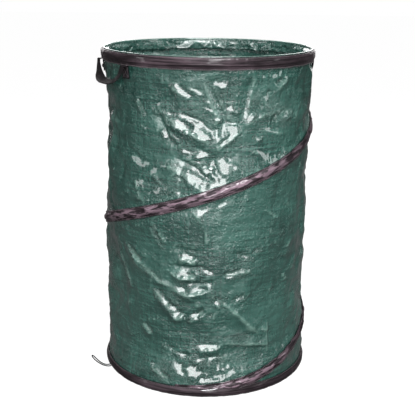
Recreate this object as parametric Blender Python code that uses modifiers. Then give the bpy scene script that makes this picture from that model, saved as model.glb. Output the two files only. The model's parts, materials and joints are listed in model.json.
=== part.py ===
"""Pop up leaf bag, modelled as its separate pieces, in metres with +Z up.

A tube of tarpaulin stands between two wire hoops. A spring wire coil climbs from
the bottom hoop to the top hoop inside a sewn tape casing and holds the tube open.
The origin is the middle of the floor panel's underside. Angles are counted from
+X, turning left seen from above, and the front of the bag faces -Y.
"""

from math import cos, pi, radians, sin, sqrt, tan

import bmesh
import bpy
from mathutils import Matrix, Vector
from mathutils.geometry import interpolate_bezier

# Overall size of the open bag
bag_diameter = 0.457
bag_height = 0.711

# Gap between pieces that touch, and how far a cutter passes the wall it cuts
clearance = 0.0003
cut_overrun = 0.004
merge_distance = 0.00001

# Tarpaulin and sewn tape
wall_thickness = 0.001
wall_sag = 0.0062
floor_thickness = 0.001
hem_thickness = 0.0008
hem_height = 0.026
tape_thickness = 0.0008
tape_width = 0.025
top_band_height = 0.0257
foot_band_height = 0.021

# Spring wire and the sleeves crimped on it
wire_diameter = 0.0025
ferrule_wall = 0.0004
ferrule_length = 0.020
hoop_butt_gap = 0.001
foot_hoop_height = 0.0085
top_hoop_drop = 0.0105

# Coil: where it leaves the bottom hoop, how far it climbs and how it leans
coil_start_angle = radians(-120)
coil_ease_angle = radians(76)
coil_lean = 0.0073
coil_lean_angle = radians(71)

# Webbing handles
webbing_width = 0.020
webbing_thickness = 0.0012
handle_angles = {"left": radians(203), "right": radians(33)}
handle_half_span = radians(20)
handle_drop = 0.038
handle_bow = 0.003
handle_leg_drop = 0.028
handle_leg_reach = 0.0005
handle_bottom_reach = 0.052
handle_bottom_tilt = radians(35)
webbing_tuck = 0.009
webbing_tail = 0.026
notch_height = 0.0045

# Closure: a barrel toggle on a ribbon under the top band, and an elastic loop below
toggle_angle = radians(168)
toggle_length = 0.032
toggle_radius = 0.0045
toggle_waist_radius = 0.003
toggle_hang = 0.020
toggle_round = 0.0015
ribbon_width = 0.010
ribbon_thickness = 0.0008
ribbon_tail = 0.008
ribbon_neck_angle = radians(25)
loop_angle = radians(203)
loop_cord_diameter = 0.0025
loop_point_spacing = 0.004
spline_handle_share = 1 / 6

# Counts
turn_steps = 60
coil_steps = 106
tail_steps = 1
wire_side_steps = 1
cord_side_steps = 2
arch_steps = 5
arch_squareness = 5
casing_inset_steps = 2
strap_steps = 12
strap_ahead_share = 0.01
round_steps = 6
route_steps = 12
toggle_steps = 14
smooth_angle = radians(35)

# Rows of the wall between one turn of the coil and the next, as shares of the rise
wall_row_shares = (0.03, 0.1, 0.27, 0.5, 0.73, 0.9, 0.97)
wall_turns = 3
wall_sag_power = 3

# The elastic loop's route: out from the foot band, up from the ground, and sideways
loop_route = (
    (0.0003, 0.0052, 0.0),
    (0.0080, 0.0050, 0.0004),
    (0.0170, 0.0078, 0.0010),
    (0.0260, 0.0136, 0.0014),
    (0.0340, 0.0207, 0.0014),
    (0.0405, 0.0285, 0.0008),
    (0.0435, 0.0350, 0.0),
    (0.0400, 0.0392, -0.0006),
    (0.0345, 0.0362, -0.0012),
    (0.0285, 0.0285, -0.0016),
    (0.0215, 0.0200, -0.0016),
    (0.0140, 0.0132, -0.0010),
    (0.0070, 0.0100, -0.0004),
    (0.0003, 0.0095, 0.0),
)

# Radii worked out inwards from the outside of the tape
step_angle = 2 * pi / turn_steps
bag_radius = bag_diameter / 2
ferrule_reach = wire_diameter / 2 + clearance + ferrule_wall
tape_inner_radius = bag_radius - tape_thickness
wire_radius = tape_inner_radius - clearance - ferrule_reach
seat_radius = wire_radius - ferrule_reach
wall_outer_radius = seat_radius - clearance
wall_inner_radius = wall_outer_radius - wall_thickness
hem_outer_radius = wall_inner_radius - clearance
hem_inner_radius = hem_outer_radius - hem_thickness

# Heights
wire_pitch = wire_diameter + clearance
wall_top = bag_height - hem_thickness - clearance
top_band_top = wall_top
top_band_bottom = top_band_top - top_band_height
top_hoop_height = top_band_top - top_hoop_drop
coil_bottom = foot_hoop_height + wire_pitch
coil_top = top_hoop_height - wire_pitch
coil_rise = (coil_top - coil_bottom) / (coil_steps * step_angle - coil_ease_angle)
coil_turn_rise = coil_rise * 2 * pi


# Collections and materials

def new_collection(name):
    """Return a new collection linked to the scene."""
    collection = bpy.data.collections.new(name)
    bpy.context.scene.collection.children.link(collection)
    return collection


def new_finish(name, colour, roughness, metallic=0.0):
    """Return a Principled BSDF material."""
    finish = bpy.data.materials.new(name)
    finish.use_nodes = True
    shader = finish.node_tree.nodes["Principled BSDF"]
    shader.inputs["Base Color"].default_value = (*colour, 1)
    shader.inputs["Roughness"].default_value = roughness
    shader.inputs["Metallic"].default_value = metallic
    return finish


def place(item, collection, finish=None):
    """Link an object to a collection and give it a material of its own."""
    collection.objects.link(item)
    if finish:
        item.data.materials.append(new_finish(item.name, *finish))
    return item


def as_cutter(item):
    """Mark an object as a tool that only cuts."""
    item.hide_render = True
    item.display_type = "WIRE"
    return item


def smooth(mesh):
    """Shade a mesh smooth except at sharp edges."""
    mesh.shade_smooth()
    mesh.set_sharp_from_angle(angle=smooth_angle)


# Places on and around the bag

def around(angle, radius, height=0.0):
    """Return the point at an angle round the bag's axis."""
    return Vector((radius * cos(angle), radius * sin(angle), height))


def ease(share):
    """Return a smooth step from 0 to 1."""
    share = min(max(share, 0), 1)
    return share * share * (3 - 2 * share)


def coil_height(swept):
    """Return the coil's height after it has turned by an angle from its start."""
    span = coil_steps * step_angle
    swept = min(max(swept, 0), span)
    left = span - swept
    rise = coil_rise * (swept - coil_ease_angle / 2)
    if swept < coil_ease_angle:
        rise = coil_rise * swept ** 2 / coil_ease_angle / 2
    elif left < coil_ease_angle:
        rise = coil_top - coil_bottom - coil_rise * left ** 2 / coil_ease_angle / 2
    hold = ease(min(swept, left) / coil_ease_angle)
    lean = coil_lean * cos(coil_start_angle + swept - coil_lean_angle)
    return coil_bottom + rise + hold * lean


def coil_points(first_step, last_step, radius):
    """Return the points of the coil's path, one at each step of its turning."""
    points = []
    for step in range(first_step, last_step + 1):
        swept = step * step_angle
        points.append(around(coil_start_angle + swept, radius, coil_height(swept)))
    return points


def held_heights(angle):
    """Return the stretches of height at an angle where tape holds the wall out."""
    half_tape = tape_width / 2 * sqrt(1 + (coil_rise / wire_radius) ** 2)
    held = [(0.0, foot_band_height), (top_band_bottom, bag_height)]
    swept = (angle - coil_start_angle) % (2 * pi)
    while swept <= coil_steps * step_angle:
        middle = coil_height(swept)
        held.append((middle - half_tape, middle + half_tape))
        swept += 2 * pi
    return sorted(held)


def wall_radius(angle, height):
    """Return the wall's outer radius, drawn in between the stretches held by tape."""
    held = held_heights(angle)
    for lower, upper in zip(held, held[1:]):
        if lower[1] < height < upper[0]:
            panel = upper[0] - lower[1]
            share = (height - lower[1]) / panel
            depth = wall_sag * ease(2 * panel / coil_turn_rise)
            return wall_outer_radius - depth * (1 - abs(2 * share - 1) ** wall_sag_power)
    return wall_outer_radius


# Ways of making a piece

def turned(name, outline, finish, closed=True):
    """Turn an outline of radii and heights round the bag's axis."""
    mesh = bpy.data.meshes.new(name)
    points = [(radius, 0, height) for radius, height in outline]
    edges = [(index, index + 1) for index in range(len(points) - 1)]
    if closed:
        edges.append((len(points) - 1, 0))
    mesh.from_pydata(points, edges, [])
    item = place(bpy.data.objects.new(name, mesh), bag, finish)
    screw = item.modifiers.new("Turn", "SCREW")
    screw.steps = turn_steps
    screw.render_steps = turn_steps
    screw.use_merge_vertices = True
    screw.merge_threshold = merge_distance
    return item


def spline_curve(name, points, closed=False):
    """Return a curve object of one straight-segment spline, in no collection yet."""
    curve = bpy.data.curves.new(name, "CURVE")
    curve.dimensions = "3D"
    spline = curve.splines.new("POLY")
    spline.points.add(len(points) - 1)
    for point, place_at in zip(spline.points, points):
        point.co = (*place_at, 1)
    spline.use_cyclic_u = closed
    return bpy.data.objects.new(name, curve)


def tube(name, points, diameter, side_steps, collection, finish=None):
    """Return a round wire or cord along points, with filled ends."""
    item = spline_curve(name, points)
    item.data.bevel_depth = diameter / 2
    item.data.bevel_resolution = side_steps
    item.data.use_fill_caps = True
    return place(item, collection, finish)


def flat_outline(name, loops, thickness, matrix, finish):
    """Return a flat piece of a thickness, with an outer loop and holes."""
    curve = bpy.data.curves.new(name, "CURVE")
    curve.dimensions = "2D"
    curve.fill_mode = "BOTH"
    curve.extrude = thickness / 2
    for loop in loops:
        spline = curve.splines.new("POLY")
        spline.points.add(len(loop) - 1)
        for point, (across, along) in zip(spline.points, loop):
            point.co = (across, along, 0, 1)
        spline.use_cyclic_u = True
    item = bpy.data.objects.new(name, curve)
    item.matrix_world = matrix
    return place(item, bag, finish)


def made_mesh(item, finish=None):
    """Turn a curve object into a mesh object with its caps welded on."""
    bpy.context.view_layer.update()
    graph = bpy.context.evaluated_depsgraph_get()
    mesh = bpy.data.meshes.new_from_object(item.evaluated_get(graph))
    work = bmesh.new()
    work.from_mesh(mesh)
    bmesh.ops.remove_doubles(work, verts=work.verts, dist=merge_distance)
    bmesh.ops.recalc_face_normals(work, faces=work.faces)
    work.to_mesh(mesh)
    work.free()
    name = item.name
    matrix = item.matrix_world.copy()
    collection = item.users_collection[0]
    bpy.data.objects.remove(item)
    whole = bpy.data.objects.new(name, mesh)
    whole.matrix_world = matrix
    mesh.materials.clear()
    return place(whole, collection, finish)


def loft(name, sections, finish, parent=None):
    """Join like-numbered loops of points into one closed body."""
    work = bmesh.new()
    rings = [[work.verts.new(point) for point in section] for section in sections]
    for ring, following in zip(rings, rings[1:]):
        for index in range(len(ring)):
            after = (index + 1) % len(ring)
            work.faces.new((ring[index], ring[after], following[after], following[index]))
    work.faces.new(rings[0][::-1])
    work.faces.new(rings[-1])
    bmesh.ops.recalc_face_normals(work, faces=work.faces)
    mesh = bpy.data.meshes.new(name)
    work.to_mesh(mesh)
    work.free()
    item = place(bpy.data.objects.new(name, mesh), bag, finish)
    if parent:
        item.parent = parent
        mesh.transform(Matrix.Translation(-parent.location))
    return item


def strap_section(middle, across, out, width, thickness):
    """Return the four corners of a strap cut square at a point."""
    side = across.normalized() * width / 2
    face = out.normalized() * thickness / 2
    return [middle - side - face, middle + side - face, middle + side + face, middle - side + face]


def cut(item, cutter):
    """Take a cutter's shape away from a piece."""
    step = item.modifiers.new("Cut " + cutter.name, "BOOLEAN")
    step.operation = "DIFFERENCE"
    step.solver = "EXACT"
    step.object = cutter


def block(name, middle, across, out, size):
    """Return a box cutter set square to two directions."""
    mesh = bpy.data.meshes.new(name)
    work = bmesh.new()
    bmesh.ops.create_cube(work, size=1)
    bmesh.ops.scale(work, vec=size, verts=work.verts)
    work.to_mesh(mesh)
    work.free()
    item = bpy.data.objects.new(name, mesh)
    upright = across.cross(out)
    turn = Matrix((across, out, upright)).transposed().to_4x4()
    item.matrix_world = Matrix.Translation(middle) @ turn
    return as_cutter(place(item, cutters))


def disc(name, low, high):
    """Return a round cutter wider than the bag between two heights."""
    mesh = bpy.data.meshes.new(name)
    work = bmesh.new()
    radius = bag_radius + cut_overrun
    bmesh.ops.create_cone(
        work, cap_ends=True, segments=turn_steps, radius1=radius, radius2=radius, depth=high - low
    )
    work.to_mesh(mesh)
    work.free()
    item = bpy.data.objects.new(name, mesh)
    item.location.z = (low + high) / 2
    return as_cutter(place(item, cutters))


# Fabric

def arch_outline(width, middle):
    """Return a taped casing's section, from its upper foot over the crest and back."""
    crest = bag_radius - seat_radius
    outline = []
    for half, rise, order in (
        (width / 2, crest, 1),
        (width / 2 - tape_thickness, crest - tape_thickness, -1),
    ):
        side = []
        for step in range(arch_steps + 1):
            angle = pi * step / arch_steps
            along = abs(cos(angle)) ** (2 / arch_squareness)
            if step * 2 > arch_steps:
                along = -along
            out = abs(sin(angle)) ** (2 / arch_squareness)
            if step in (0, arch_steps):
                out = 0.0
            side.append((seat_radius + rise * out, middle + half * along))
        outline += side[::order]
    return outline


def make_wall():
    """Make the wall: rows laid along the coil's climb, trimmed level at both hoops."""
    rows = len(wall_row_shares)
    work = bmesh.new()
    grid = {}

    def row_height(step, row):
        swept = step * step_angle - coil_start_angle
        line = coil_bottom + coil_rise * (swept - coil_ease_angle / 2)
        line += coil_lean * cos(step * step_angle - coil_lean_angle)
        return line + coil_turn_rise * (row // rows + wall_row_shares[row % rows])

    for step in range(turn_steps):
        for row in range(-rows * wall_turns, rows * wall_turns):
            point = around(step * step_angle, wall_outer_radius, row_height(step, row))
            grid[step, row] = work.verts.new(point)
    for (step, row), corner in grid.items():
        over = (step + 1, row) if step + 1 < turn_steps else (0, row + rows)
        corners = (
            corner,
            grid.get(over),
            grid.get((over[0], over[1] + 1)),
            grid.get((step, row + 1)),
        )
        if all(corners):
            work.faces.new(corners)
    for height, trims_below, trims_above in (
        (clearance, True, False),
        (wall_top, False, True),
        (foot_band_height, False, False),
        (top_band_bottom, False, False),
        (top_band_bottom - webbing_tail, False, False),
    ):
        bmesh.ops.bisect_plane(
            work,
            geom=work.verts[:] + work.edges[:] + work.faces[:],
            dist=merge_distance,
            plane_co=(0, 0, height),
            plane_no=(0, 0, 1),
            clear_inner=trims_below,
            clear_outer=trims_above,
        )
    loose = [vert for vert in work.verts if not vert.link_faces]
    bmesh.ops.delete(work, geom=loose, context="VERTS")
    for vert in work.verts:
        angle = Vector((1, 0)).angle_signed(vert.co.xy)
        shrink = wall_radius(-angle, vert.co.z) / wall_outer_radius
        vert.co.x *= shrink
        vert.co.y *= shrink
    bmesh.ops.recalc_face_normals(work, faces=work.faces)
    mesh = bpy.data.meshes.new("wall_panel")
    work.to_mesh(mesh)
    work.free()
    item = place(bpy.data.objects.new("wall_panel", mesh), bag, tarpaulin)
    shell = item.modifiers.new("Cloth", "SOLIDIFY")
    shell.thickness = wall_thickness
    shell.offset = -1
    smooth(mesh)


def make_casing():
    """Sweep the arched tape up the coil and trim it level at both bands."""
    section = spline_curve("casing_section", [
        (radius - seat_radius, height, 0) for radius, height in arch_outline(tape_width, 0.0)
    ], closed=True)
    section.data.dimensions = "2D"
    place(section, cutters)
    path = spline_curve("coil_casing", coil_points(
        casing_inset_steps, coil_steps - casing_inset_steps, seat_radius
    ))
    path.data.twist_mode = "Z_UP"
    path.data.bevel_mode = "OBJECT"
    path.data.bevel_object = section
    path.data.use_fill_caps = True
    casing = made_mesh(place(path, bag), tape)
    bpy.data.objects.remove(section)
    cut(casing, disc("casing_foot_trim", -cut_overrun, foot_band_height + clearance))
    cut(casing, disc("casing_top_trim", top_band_bottom - clearance, bag_height + cut_overrun))


def make_rings():
    """Make the floor, the hem and the two tape bands, and return the top band."""
    floor_edge = wall_inner_radius - clearance
    turned("floor_panel", [
        (0, floor_thickness),
        (floor_edge, floor_thickness),
        (floor_edge, 0),
        (0, 0),
    ], tarpaulin, closed=False)
    turned("rim_hem", [
        (hem_inner_radius, bag_height),
        (wall_outer_radius, bag_height),
        (wall_outer_radius, bag_height - hem_thickness),
        (hem_outer_radius, bag_height - hem_thickness),
        (hem_outer_radius, bag_height - hem_height),
        (hem_inner_radius, bag_height - hem_height),
    ], tarpaulin)
    foot = turned("bottom_binding", arch_outline(foot_band_height, foot_band_height / 2), tape)
    top = turned(
        "top_binding", arch_outline(top_band_height, top_band_top - top_band_height / 2), tape
    )
    passage = wire_diameter + 2 * clearance
    ease_steps = round(coil_ease_angle / step_angle)
    for band, name, first, last in (
        (foot, "foot_wire_slot", -tail_steps, ease_steps),
        (top, "top_wire_slot", coil_steps - ease_steps, coil_steps + tail_steps),
    ):
        path = coil_points(first, last, wire_radius)
        slot = tube(name, path, passage, cord_side_steps, cutters)
        cut(band, as_cutter(made_mesh(slot)))
    return top


# Wire

def hoop_points(joint_angle, height):
    """Return a hoop's path, whose two ends meet halfway along one step."""
    after = around(joint_angle + step_angle, wire_radius, height)
    before = around(joint_angle, wire_radius, height)
    half_gap = (after - before).normalized() * hoop_butt_gap / 2
    middle = (before + after) / 2
    points = [middle + half_gap]
    for step in range(1, turn_steps + 1):
        points.append(around(joint_angle + step * step_angle, wire_radius, height))
    points.append(middle - half_gap)
    return points


def stadium(half_width, radius, straight):
    """Return the outline of a sleeve with round ends, one above the other."""
    points = []
    for end, start in ((1, 0), (-1, pi)):
        for step in range(round_steps + 1):
            angle = start + pi * step / round_steps
            points.append((half_width * cos(angle), end * straight / 2 + radius * sin(angle)))
    return points


def make_ferrule(name, joint_angle, height):
    """Make the crimped sleeve round a hoop's joint and the coil's tail."""
    bore = wire_diameter / 2 + clearance
    before = around(joint_angle, wire_radius, height)
    after = around(joint_angle + step_angle, wire_radius, height)
    along = (after - before).normalized()
    up = Vector((0, 0, 1))
    turn = Matrix((along.cross(up), up, -along)).transposed().to_4x4()
    flat_outline(
        name,
        [
            stadium(ferrule_reach, ferrule_reach, wire_pitch),
            stadium(bore, bore, wire_pitch),
        ],
        ferrule_length,
        Matrix.Translation((before + after) / 2) @ turn,
        aluminium,
    )


def least_gap(points, diameter, skipped):
    """Return the least gap of a wire to its own later turns."""
    least = bag_height
    for index, point in enumerate(points):
        for other in points[index + skipped:]:
            least = min(least, (point - other).length - diameter)
    return least


def make_wires():
    """Make the two hoops, the coil between them and their sleeves."""
    foot_joint = coil_start_angle - tail_steps * step_angle
    top_joint = coil_start_angle + coil_steps * step_angle
    for name, joint, height in (
        ("bottom_hoop_wire", foot_joint, foot_hoop_height),
        ("top_hoop_wire", top_joint, top_hoop_height),
    ):
        tube(name, hoop_points(joint, height), wire_diameter, wire_side_steps, bag, steel)
    path = coil_points(-tail_steps, coil_steps + tail_steps, wire_radius)
    tube("coil_wire", path, wire_diameter, wire_side_steps, bag, steel)
    print("coil wire's least gap to itself: %.4f m" % least_gap(path, wire_diameter, turn_steps // 2))
    make_ferrule("bottom_ferrule", foot_joint, foot_hoop_height + wire_pitch / 2)
    make_ferrule("top_ferrule", top_joint, top_hoop_height - wire_pitch / 2)


# Webbing

def hinge_place(half_span, width, thickness):
    """Return the radius and height of a strap's fold line below the top band."""
    stand_off = 2 * clearance + width / 2 * abs(sin(half_span)) + thickness / 2
    return bag_radius + stand_off, top_band_bottom - clearance - thickness / 2


def make_tab(name, angle, facing, width, thickness, tail, top_band):
    """Make a strap's sewn end: a tail flat on the wall, folded back under the top band."""
    radius, height = hinge_place(facing - angle, width, thickness)
    half = thickness / 2
    inner = seat_radius
    layer = inner + thickness
    outer = layer + clearance + thickness
    low = top_band_bottom - tail
    high = top_band_bottom + webbing_tuck
    tail_radius = wall_radius(angle, low) + clearance
    radial = around(angle, 1)
    tangent = Vector((0, 0, 1)).cross(radial)
    sections = []
    for aside in (-width / 2, width / 2):
        lip = radius - (half + clearance) / cos(facing - angle) - aside * tan(facing - angle)
        side_view = [
            (tail_radius, low),
            (inner, top_band_bottom),
            (inner, high),
            (outer, high),
            (outer, height + half),
            (lip, height + half),
            (lip, height - half),
            (layer + clearance, height - half),
            (layer + clearance, high - thickness),
            (layer, high - thickness),
            (layer, top_band_bottom),
            (tail_radius + thickness, low),
        ]
        sections.append([around(angle, out, up) + tangent * aside for out, up in side_view])
    loft(name, sections, webbing)
    notch_depth = outer + clearance - inner + cut_overrun
    cut(top_band, block(
        name + "_notch",
        around(angle, outer + clearance - notch_depth / 2, top_band_bottom),
        tangent,
        radial,
        (width + 2 * clearance, notch_depth, notch_height),
    ))


def handle_centre(share, radius):
    """Return a handle's middle line as sideways, outward and downward distances."""
    end = Vector((radius * sin(handle_half_span), radius * cos(handle_half_span), 0))
    leg = end + Vector((0, handle_leg_reach, -handle_leg_drop))
    bottom_out = bag_radius + handle_bow
    sweep = Vector((handle_bottom_reach, bottom_out, -handle_drop))
    bottom = Vector((0, bottom_out, -handle_drop))
    rest = 1 - share
    return (
        end * rest ** 3
        + leg * 3 * rest ** 2 * share
        + sweep * 3 * rest * share ** 2
        + bottom * share ** 3
    )


def make_handle(side, top_band):
    """Make one webbing handle, its two sewn ends and its fold line."""
    facing = handle_angles[side]
    front_end = 1 if side == "left" else -1
    for end, sign in (("front", front_end), ("back", -front_end)):
        angle = facing + sign * handle_half_span
        name = "handle_%s_%s_end" % (side, end)
        make_tab(name, angle, facing, webbing_width, webbing_thickness, webbing_tail, top_band)
    radius, height = hinge_place(handle_half_span, webbing_width, webbing_thickness)
    hinge = place(bpy.data.objects.new("handle_%s_hinge" % side, None), bag)
    hinge.location = around(facing, radius * cos(handle_half_span), height)
    up = Vector((0, 0, 1))
    outward = around(facing, 1)
    chord = up.cross(outward)
    sections = []
    for step in range(2 * strap_steps + 1):
        share = min(step, 2 * strap_steps - step) / strap_steps
        sign = 1 if step > strap_steps else -1
        point = handle_centre(share, radius)
        ahead = handle_centre(min(share + strap_ahead_share, 1), radius)
        ahead -= handle_centre(max(share - strap_ahead_share, 0), radius)
        middle = chord * point.x * sign + outward * point.y + up * (point.z + height)
        along = chord * ahead.x * sign + outward * ahead.y + up * ahead.z
        flat = -sign * along.cross(outward).normalized()
        edge = -sign * flat.cross(along).normalized()
        twist = ease(share) * (pi / 2 - handle_bottom_tilt)
        across = flat * cos(twist) + edge * sin(twist)
        face = -sign * along.cross(across)
        sections.append(strap_section(middle, across, face, webbing_width, webbing_thickness))
    loft("handle_" + side, sections, webbing, hinge)


# Closure

def make_toggle(top_band):
    """Make the barrel toggle, its hanging ribbon and the ribbon's sewn end."""
    make_tab(
        "toggle_tab", toggle_angle, toggle_angle, ribbon_width, ribbon_thickness, ribbon_tail, top_band
    )
    radius, height = hinge_place(0, ribbon_width, ribbon_thickness)
    hinge = place(bpy.data.objects.new("toggle_hinge", None), bag)
    hinge.location = around(toggle_angle, radius, height)
    eye = toggle_waist_radius + clearance
    outer = eye + ribbon_thickness
    neck = ribbon_thickness / 2
    outer_loop = []
    eye_loop = []
    for step in range(2 * round_steps + 1):
        angle = pi / 2 + ribbon_neck_angle + (pi - ribbon_neck_angle) * step / round_steps
        outer_loop.append((outer * cos(angle), outer * sin(angle) - toggle_hang))
    for step in range(round_steps // 2 + 1):
        angle = 2 * pi * step / round_steps
        outer_loop.append((neck * cos(angle), neck * sin(angle)))
    for step in range(2 * round_steps):
        angle = pi * step / round_steps
        eye_loop.append((eye * cos(angle), eye * sin(angle) - toggle_hang))
    up = Vector((0, 0, 1))
    out = around(toggle_angle, 1)
    turn = Matrix((out, up, out.cross(up))).transposed().to_4x4()
    stand = Matrix.Translation(hinge.location) @ turn
    flat_outline("toggle_ribbon", [outer_loop, eye_loop], ribbon_width, stand, webbing)
    waist_half = ribbon_width / 2 + clearance
    outline = [
        (0, toggle_length / 2),
        (toggle_radius - toggle_round, toggle_length / 2),
        (toggle_radius, toggle_length / 2 - toggle_round),
        (toggle_radius, waist_half + toggle_round),
        (toggle_waist_radius, waist_half),
        (toggle_waist_radius, -waist_half),
        (toggle_radius, -waist_half - toggle_round),
        (toggle_radius, -toggle_length / 2 + toggle_round),
        (toggle_radius - toggle_round, -toggle_length / 2),
        (0, -toggle_length / 2),
    ]
    barrel = turned("closure_toggle", outline, plastic, closed=False)
    barrel.modifiers["Turn"].steps = toggle_steps
    barrel.modifiers["Turn"].render_steps = toggle_steps
    laid = Matrix((out, up, out.cross(up))).transposed().to_4x4()
    barrel.matrix_world = Matrix.Translation(hinge.location - up * toggle_hang) @ laid


def smooth_route(route):
    """Return evenly spaced points on a smooth curve through a route's points."""
    before_start = route[0] + (route[0] - route[1])
    after_end = route[-1] + (route[-1] - route[-2])
    ends = [before_start, *route, after_end]
    fine = []
    for before, first, second, after in zip(ends, ends[1:], ends[2:], ends[3:]):
        leaving = first + (second - before) * spline_handle_share
        arriving = second - (after - first) * spline_handle_share
        fine += interpolate_bezier(first, leaving, arriving, second, route_steps + 1)[:-1]
    fine.append(route[-1])
    length = sum((b - a).length for a, b in zip(fine, fine[1:]))
    count = round(length / loop_point_spacing)
    points = [fine[0]]
    walked = 0.0
    for start, end in zip(fine, fine[1:]):
        stretch = (end - start).length
        while len(points) < count and walked + stretch >= len(points) * length / count:
            share = (len(points) * length / count - walked) / stretch
            points.append(start.lerp(end, share))
        walked += stretch
    points.append(fine[-1])
    return points, length


def make_loop():
    """Make the elastic loop that stands out from the foot band."""
    out = around(loop_angle, 1)
    side = Vector((0, 0, 1)).cross(out)
    route = [
        out * (bag_radius + reach) + side * aside + Vector((0, 0, height))
        for reach, height, aside in loop_route
    ]
    points, length = smooth_route(route)
    tube("closure_loop", points, loop_cord_diameter, cord_side_steps, bag, elastic)
    print("closure loop: %.4f m of cord" % length)


# Build

for old in list(bpy.context.scene.objects):
    bpy.data.objects.remove(old)

bag = new_collection("pop_up_leaf_bag")
cutters = new_collection("cutters")

# Colour, roughness and metallic value of each material
tarpaulin = ((0.035, 0.13, 0.095), 0.32)
tape = ((0.045, 0.035, 0.04), 0.45)
webbing = ((0.03, 0.024, 0.028), 0.7)
elastic = ((0.035, 0.037, 0.036), 0.75)
plastic = ((0.02, 0.02, 0.02), 0.4)
steel = ((0.45, 0.45, 0.46), 0.35, 1.0)
aluminium = ((0.7, 0.7, 0.72), 0.4, 1.0)

make_wall()
make_casing()
top_binding = make_rings()
make_wires()
for side in handle_angles:
    make_handle(side, top_binding)
make_toggle(top_binding)
make_loop()
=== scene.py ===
"""The pop up leaf bag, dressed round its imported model.

Each soft piece starts as a flat cut of cloth or tape, as on the sewing bench, and is
then laid round the bag: the wall is rolled into a tube and crumpled, the tapes are
folded over their wires, and the webbing is bent into its handles. Lengths are in
metres. Angles are in radians, counted from +X and turning left seen from above, and
the front of the bag faces -Y.
"""

import json
import logging
import math
from collections.abc import Callable, Sequence
from dataclasses import dataclass
from enum import Enum
from math import radians

import bpy
import numpy as np
from mathutils import Matrix, Vector
from mathutils.geometry import delaunay_2d_cdt, interpolate_bezier

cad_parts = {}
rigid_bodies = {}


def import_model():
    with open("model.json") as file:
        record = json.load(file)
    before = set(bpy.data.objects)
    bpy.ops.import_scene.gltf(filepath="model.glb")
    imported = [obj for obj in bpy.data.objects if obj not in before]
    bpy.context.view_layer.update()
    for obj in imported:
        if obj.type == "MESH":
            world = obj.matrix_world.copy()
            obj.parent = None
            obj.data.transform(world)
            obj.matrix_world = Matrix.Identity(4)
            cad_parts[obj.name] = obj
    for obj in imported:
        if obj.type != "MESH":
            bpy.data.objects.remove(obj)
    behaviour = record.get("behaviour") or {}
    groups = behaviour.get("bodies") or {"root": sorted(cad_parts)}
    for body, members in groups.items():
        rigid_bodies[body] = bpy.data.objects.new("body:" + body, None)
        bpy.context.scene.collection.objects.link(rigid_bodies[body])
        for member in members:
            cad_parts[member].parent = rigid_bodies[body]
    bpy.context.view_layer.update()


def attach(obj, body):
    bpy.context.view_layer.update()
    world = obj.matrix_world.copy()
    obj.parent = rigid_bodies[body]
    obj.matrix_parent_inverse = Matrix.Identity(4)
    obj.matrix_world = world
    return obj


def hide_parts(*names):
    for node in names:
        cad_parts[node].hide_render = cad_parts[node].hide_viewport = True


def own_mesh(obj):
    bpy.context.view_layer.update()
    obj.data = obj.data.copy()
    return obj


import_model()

Array = np.ndarray
Item = bpy.types.Object
TURN = 2 * math.pi
KEY_LAMP = (0.15, -2.7, 0.98)
PHOTO_EYE = (0.0, -1.9010, 0.8768)
UP = Vector((0, 0, 1))
Pair = tuple[float, float]
Spot = tuple[float, float, float]
Way = Callable[[Array, Array], Array]
Mesh = bpy.types.Mesh
log = logging.getLogger("leaf_bag")


class Body(Enum):
    """The bodies that the pieces ride on."""

    BASE = "base"
    RIM = "rim"
    LEFT_HANDLE = "left_handle"
    RIGHT_HANDLE = "right_handle"
    TOGGLE = "toggle"


class Slot(Enum):
    """The record's material slots."""

    TARPAULIN = "tarpaulin"
    TAPE = "tape"
    WEBBING = "webbing"
    ELASTIC = "elastic"
    TOGGLE_PLASTIC = "toggle_plastic"
    SPRING_STEEL = "spring_steel"


# Sizes and shapes that every piece shares


def ease(share: Array) -> Array:
    """Return a smooth step from 0 to 1."""
    share = np.clip(share, 0, 1)
    return share * share * (3 - 2 * share)


def window(offset: Array, half: float, soft: float) -> Array:
    """Return 1 within half of the middle, easing to 0 over a soft edge.

    Args:
        offset: Distances from the middle.
        half: Half the width that stays at 1.
        soft: Width of each eased edge.

    Returns:
        The window's height at each distance.
    """
    return ease((half + soft - np.abs(offset)) / soft)


def outward(angle: float) -> Array:
    """Return the level direction away from the bag's axis at an angle."""
    return np.array([math.cos(angle), math.sin(angle), 0.0])


def run_lengths(line: Array) -> Array:
    """Return how far along a flat line each of its points lies."""
    return np.concatenate([[0], np.cumsum(np.hypot(*np.diff(line, axis=0).T))])


def turn_between(angle: Array, middle: float) -> Array:
    """Return the signed turn from a middle angle, from -pi to pi."""
    return (angle - middle + math.pi) % TURN - math.pi


def around(angle: Array, radius: Array, height: Array) -> Array:
    """Return points round the bag's axis.

    Args:
        angle: Angles round the axis.
        radius: Distances from the axis.
        height: Heights above the ground.

    Returns:
        One row of x, y and z for each place.
    """
    angle, radius, height = np.broadcast_arrays(angle, radius, height)
    return np.stack([radius * np.cos(angle), radius * np.sin(angle), height], -1)


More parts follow.
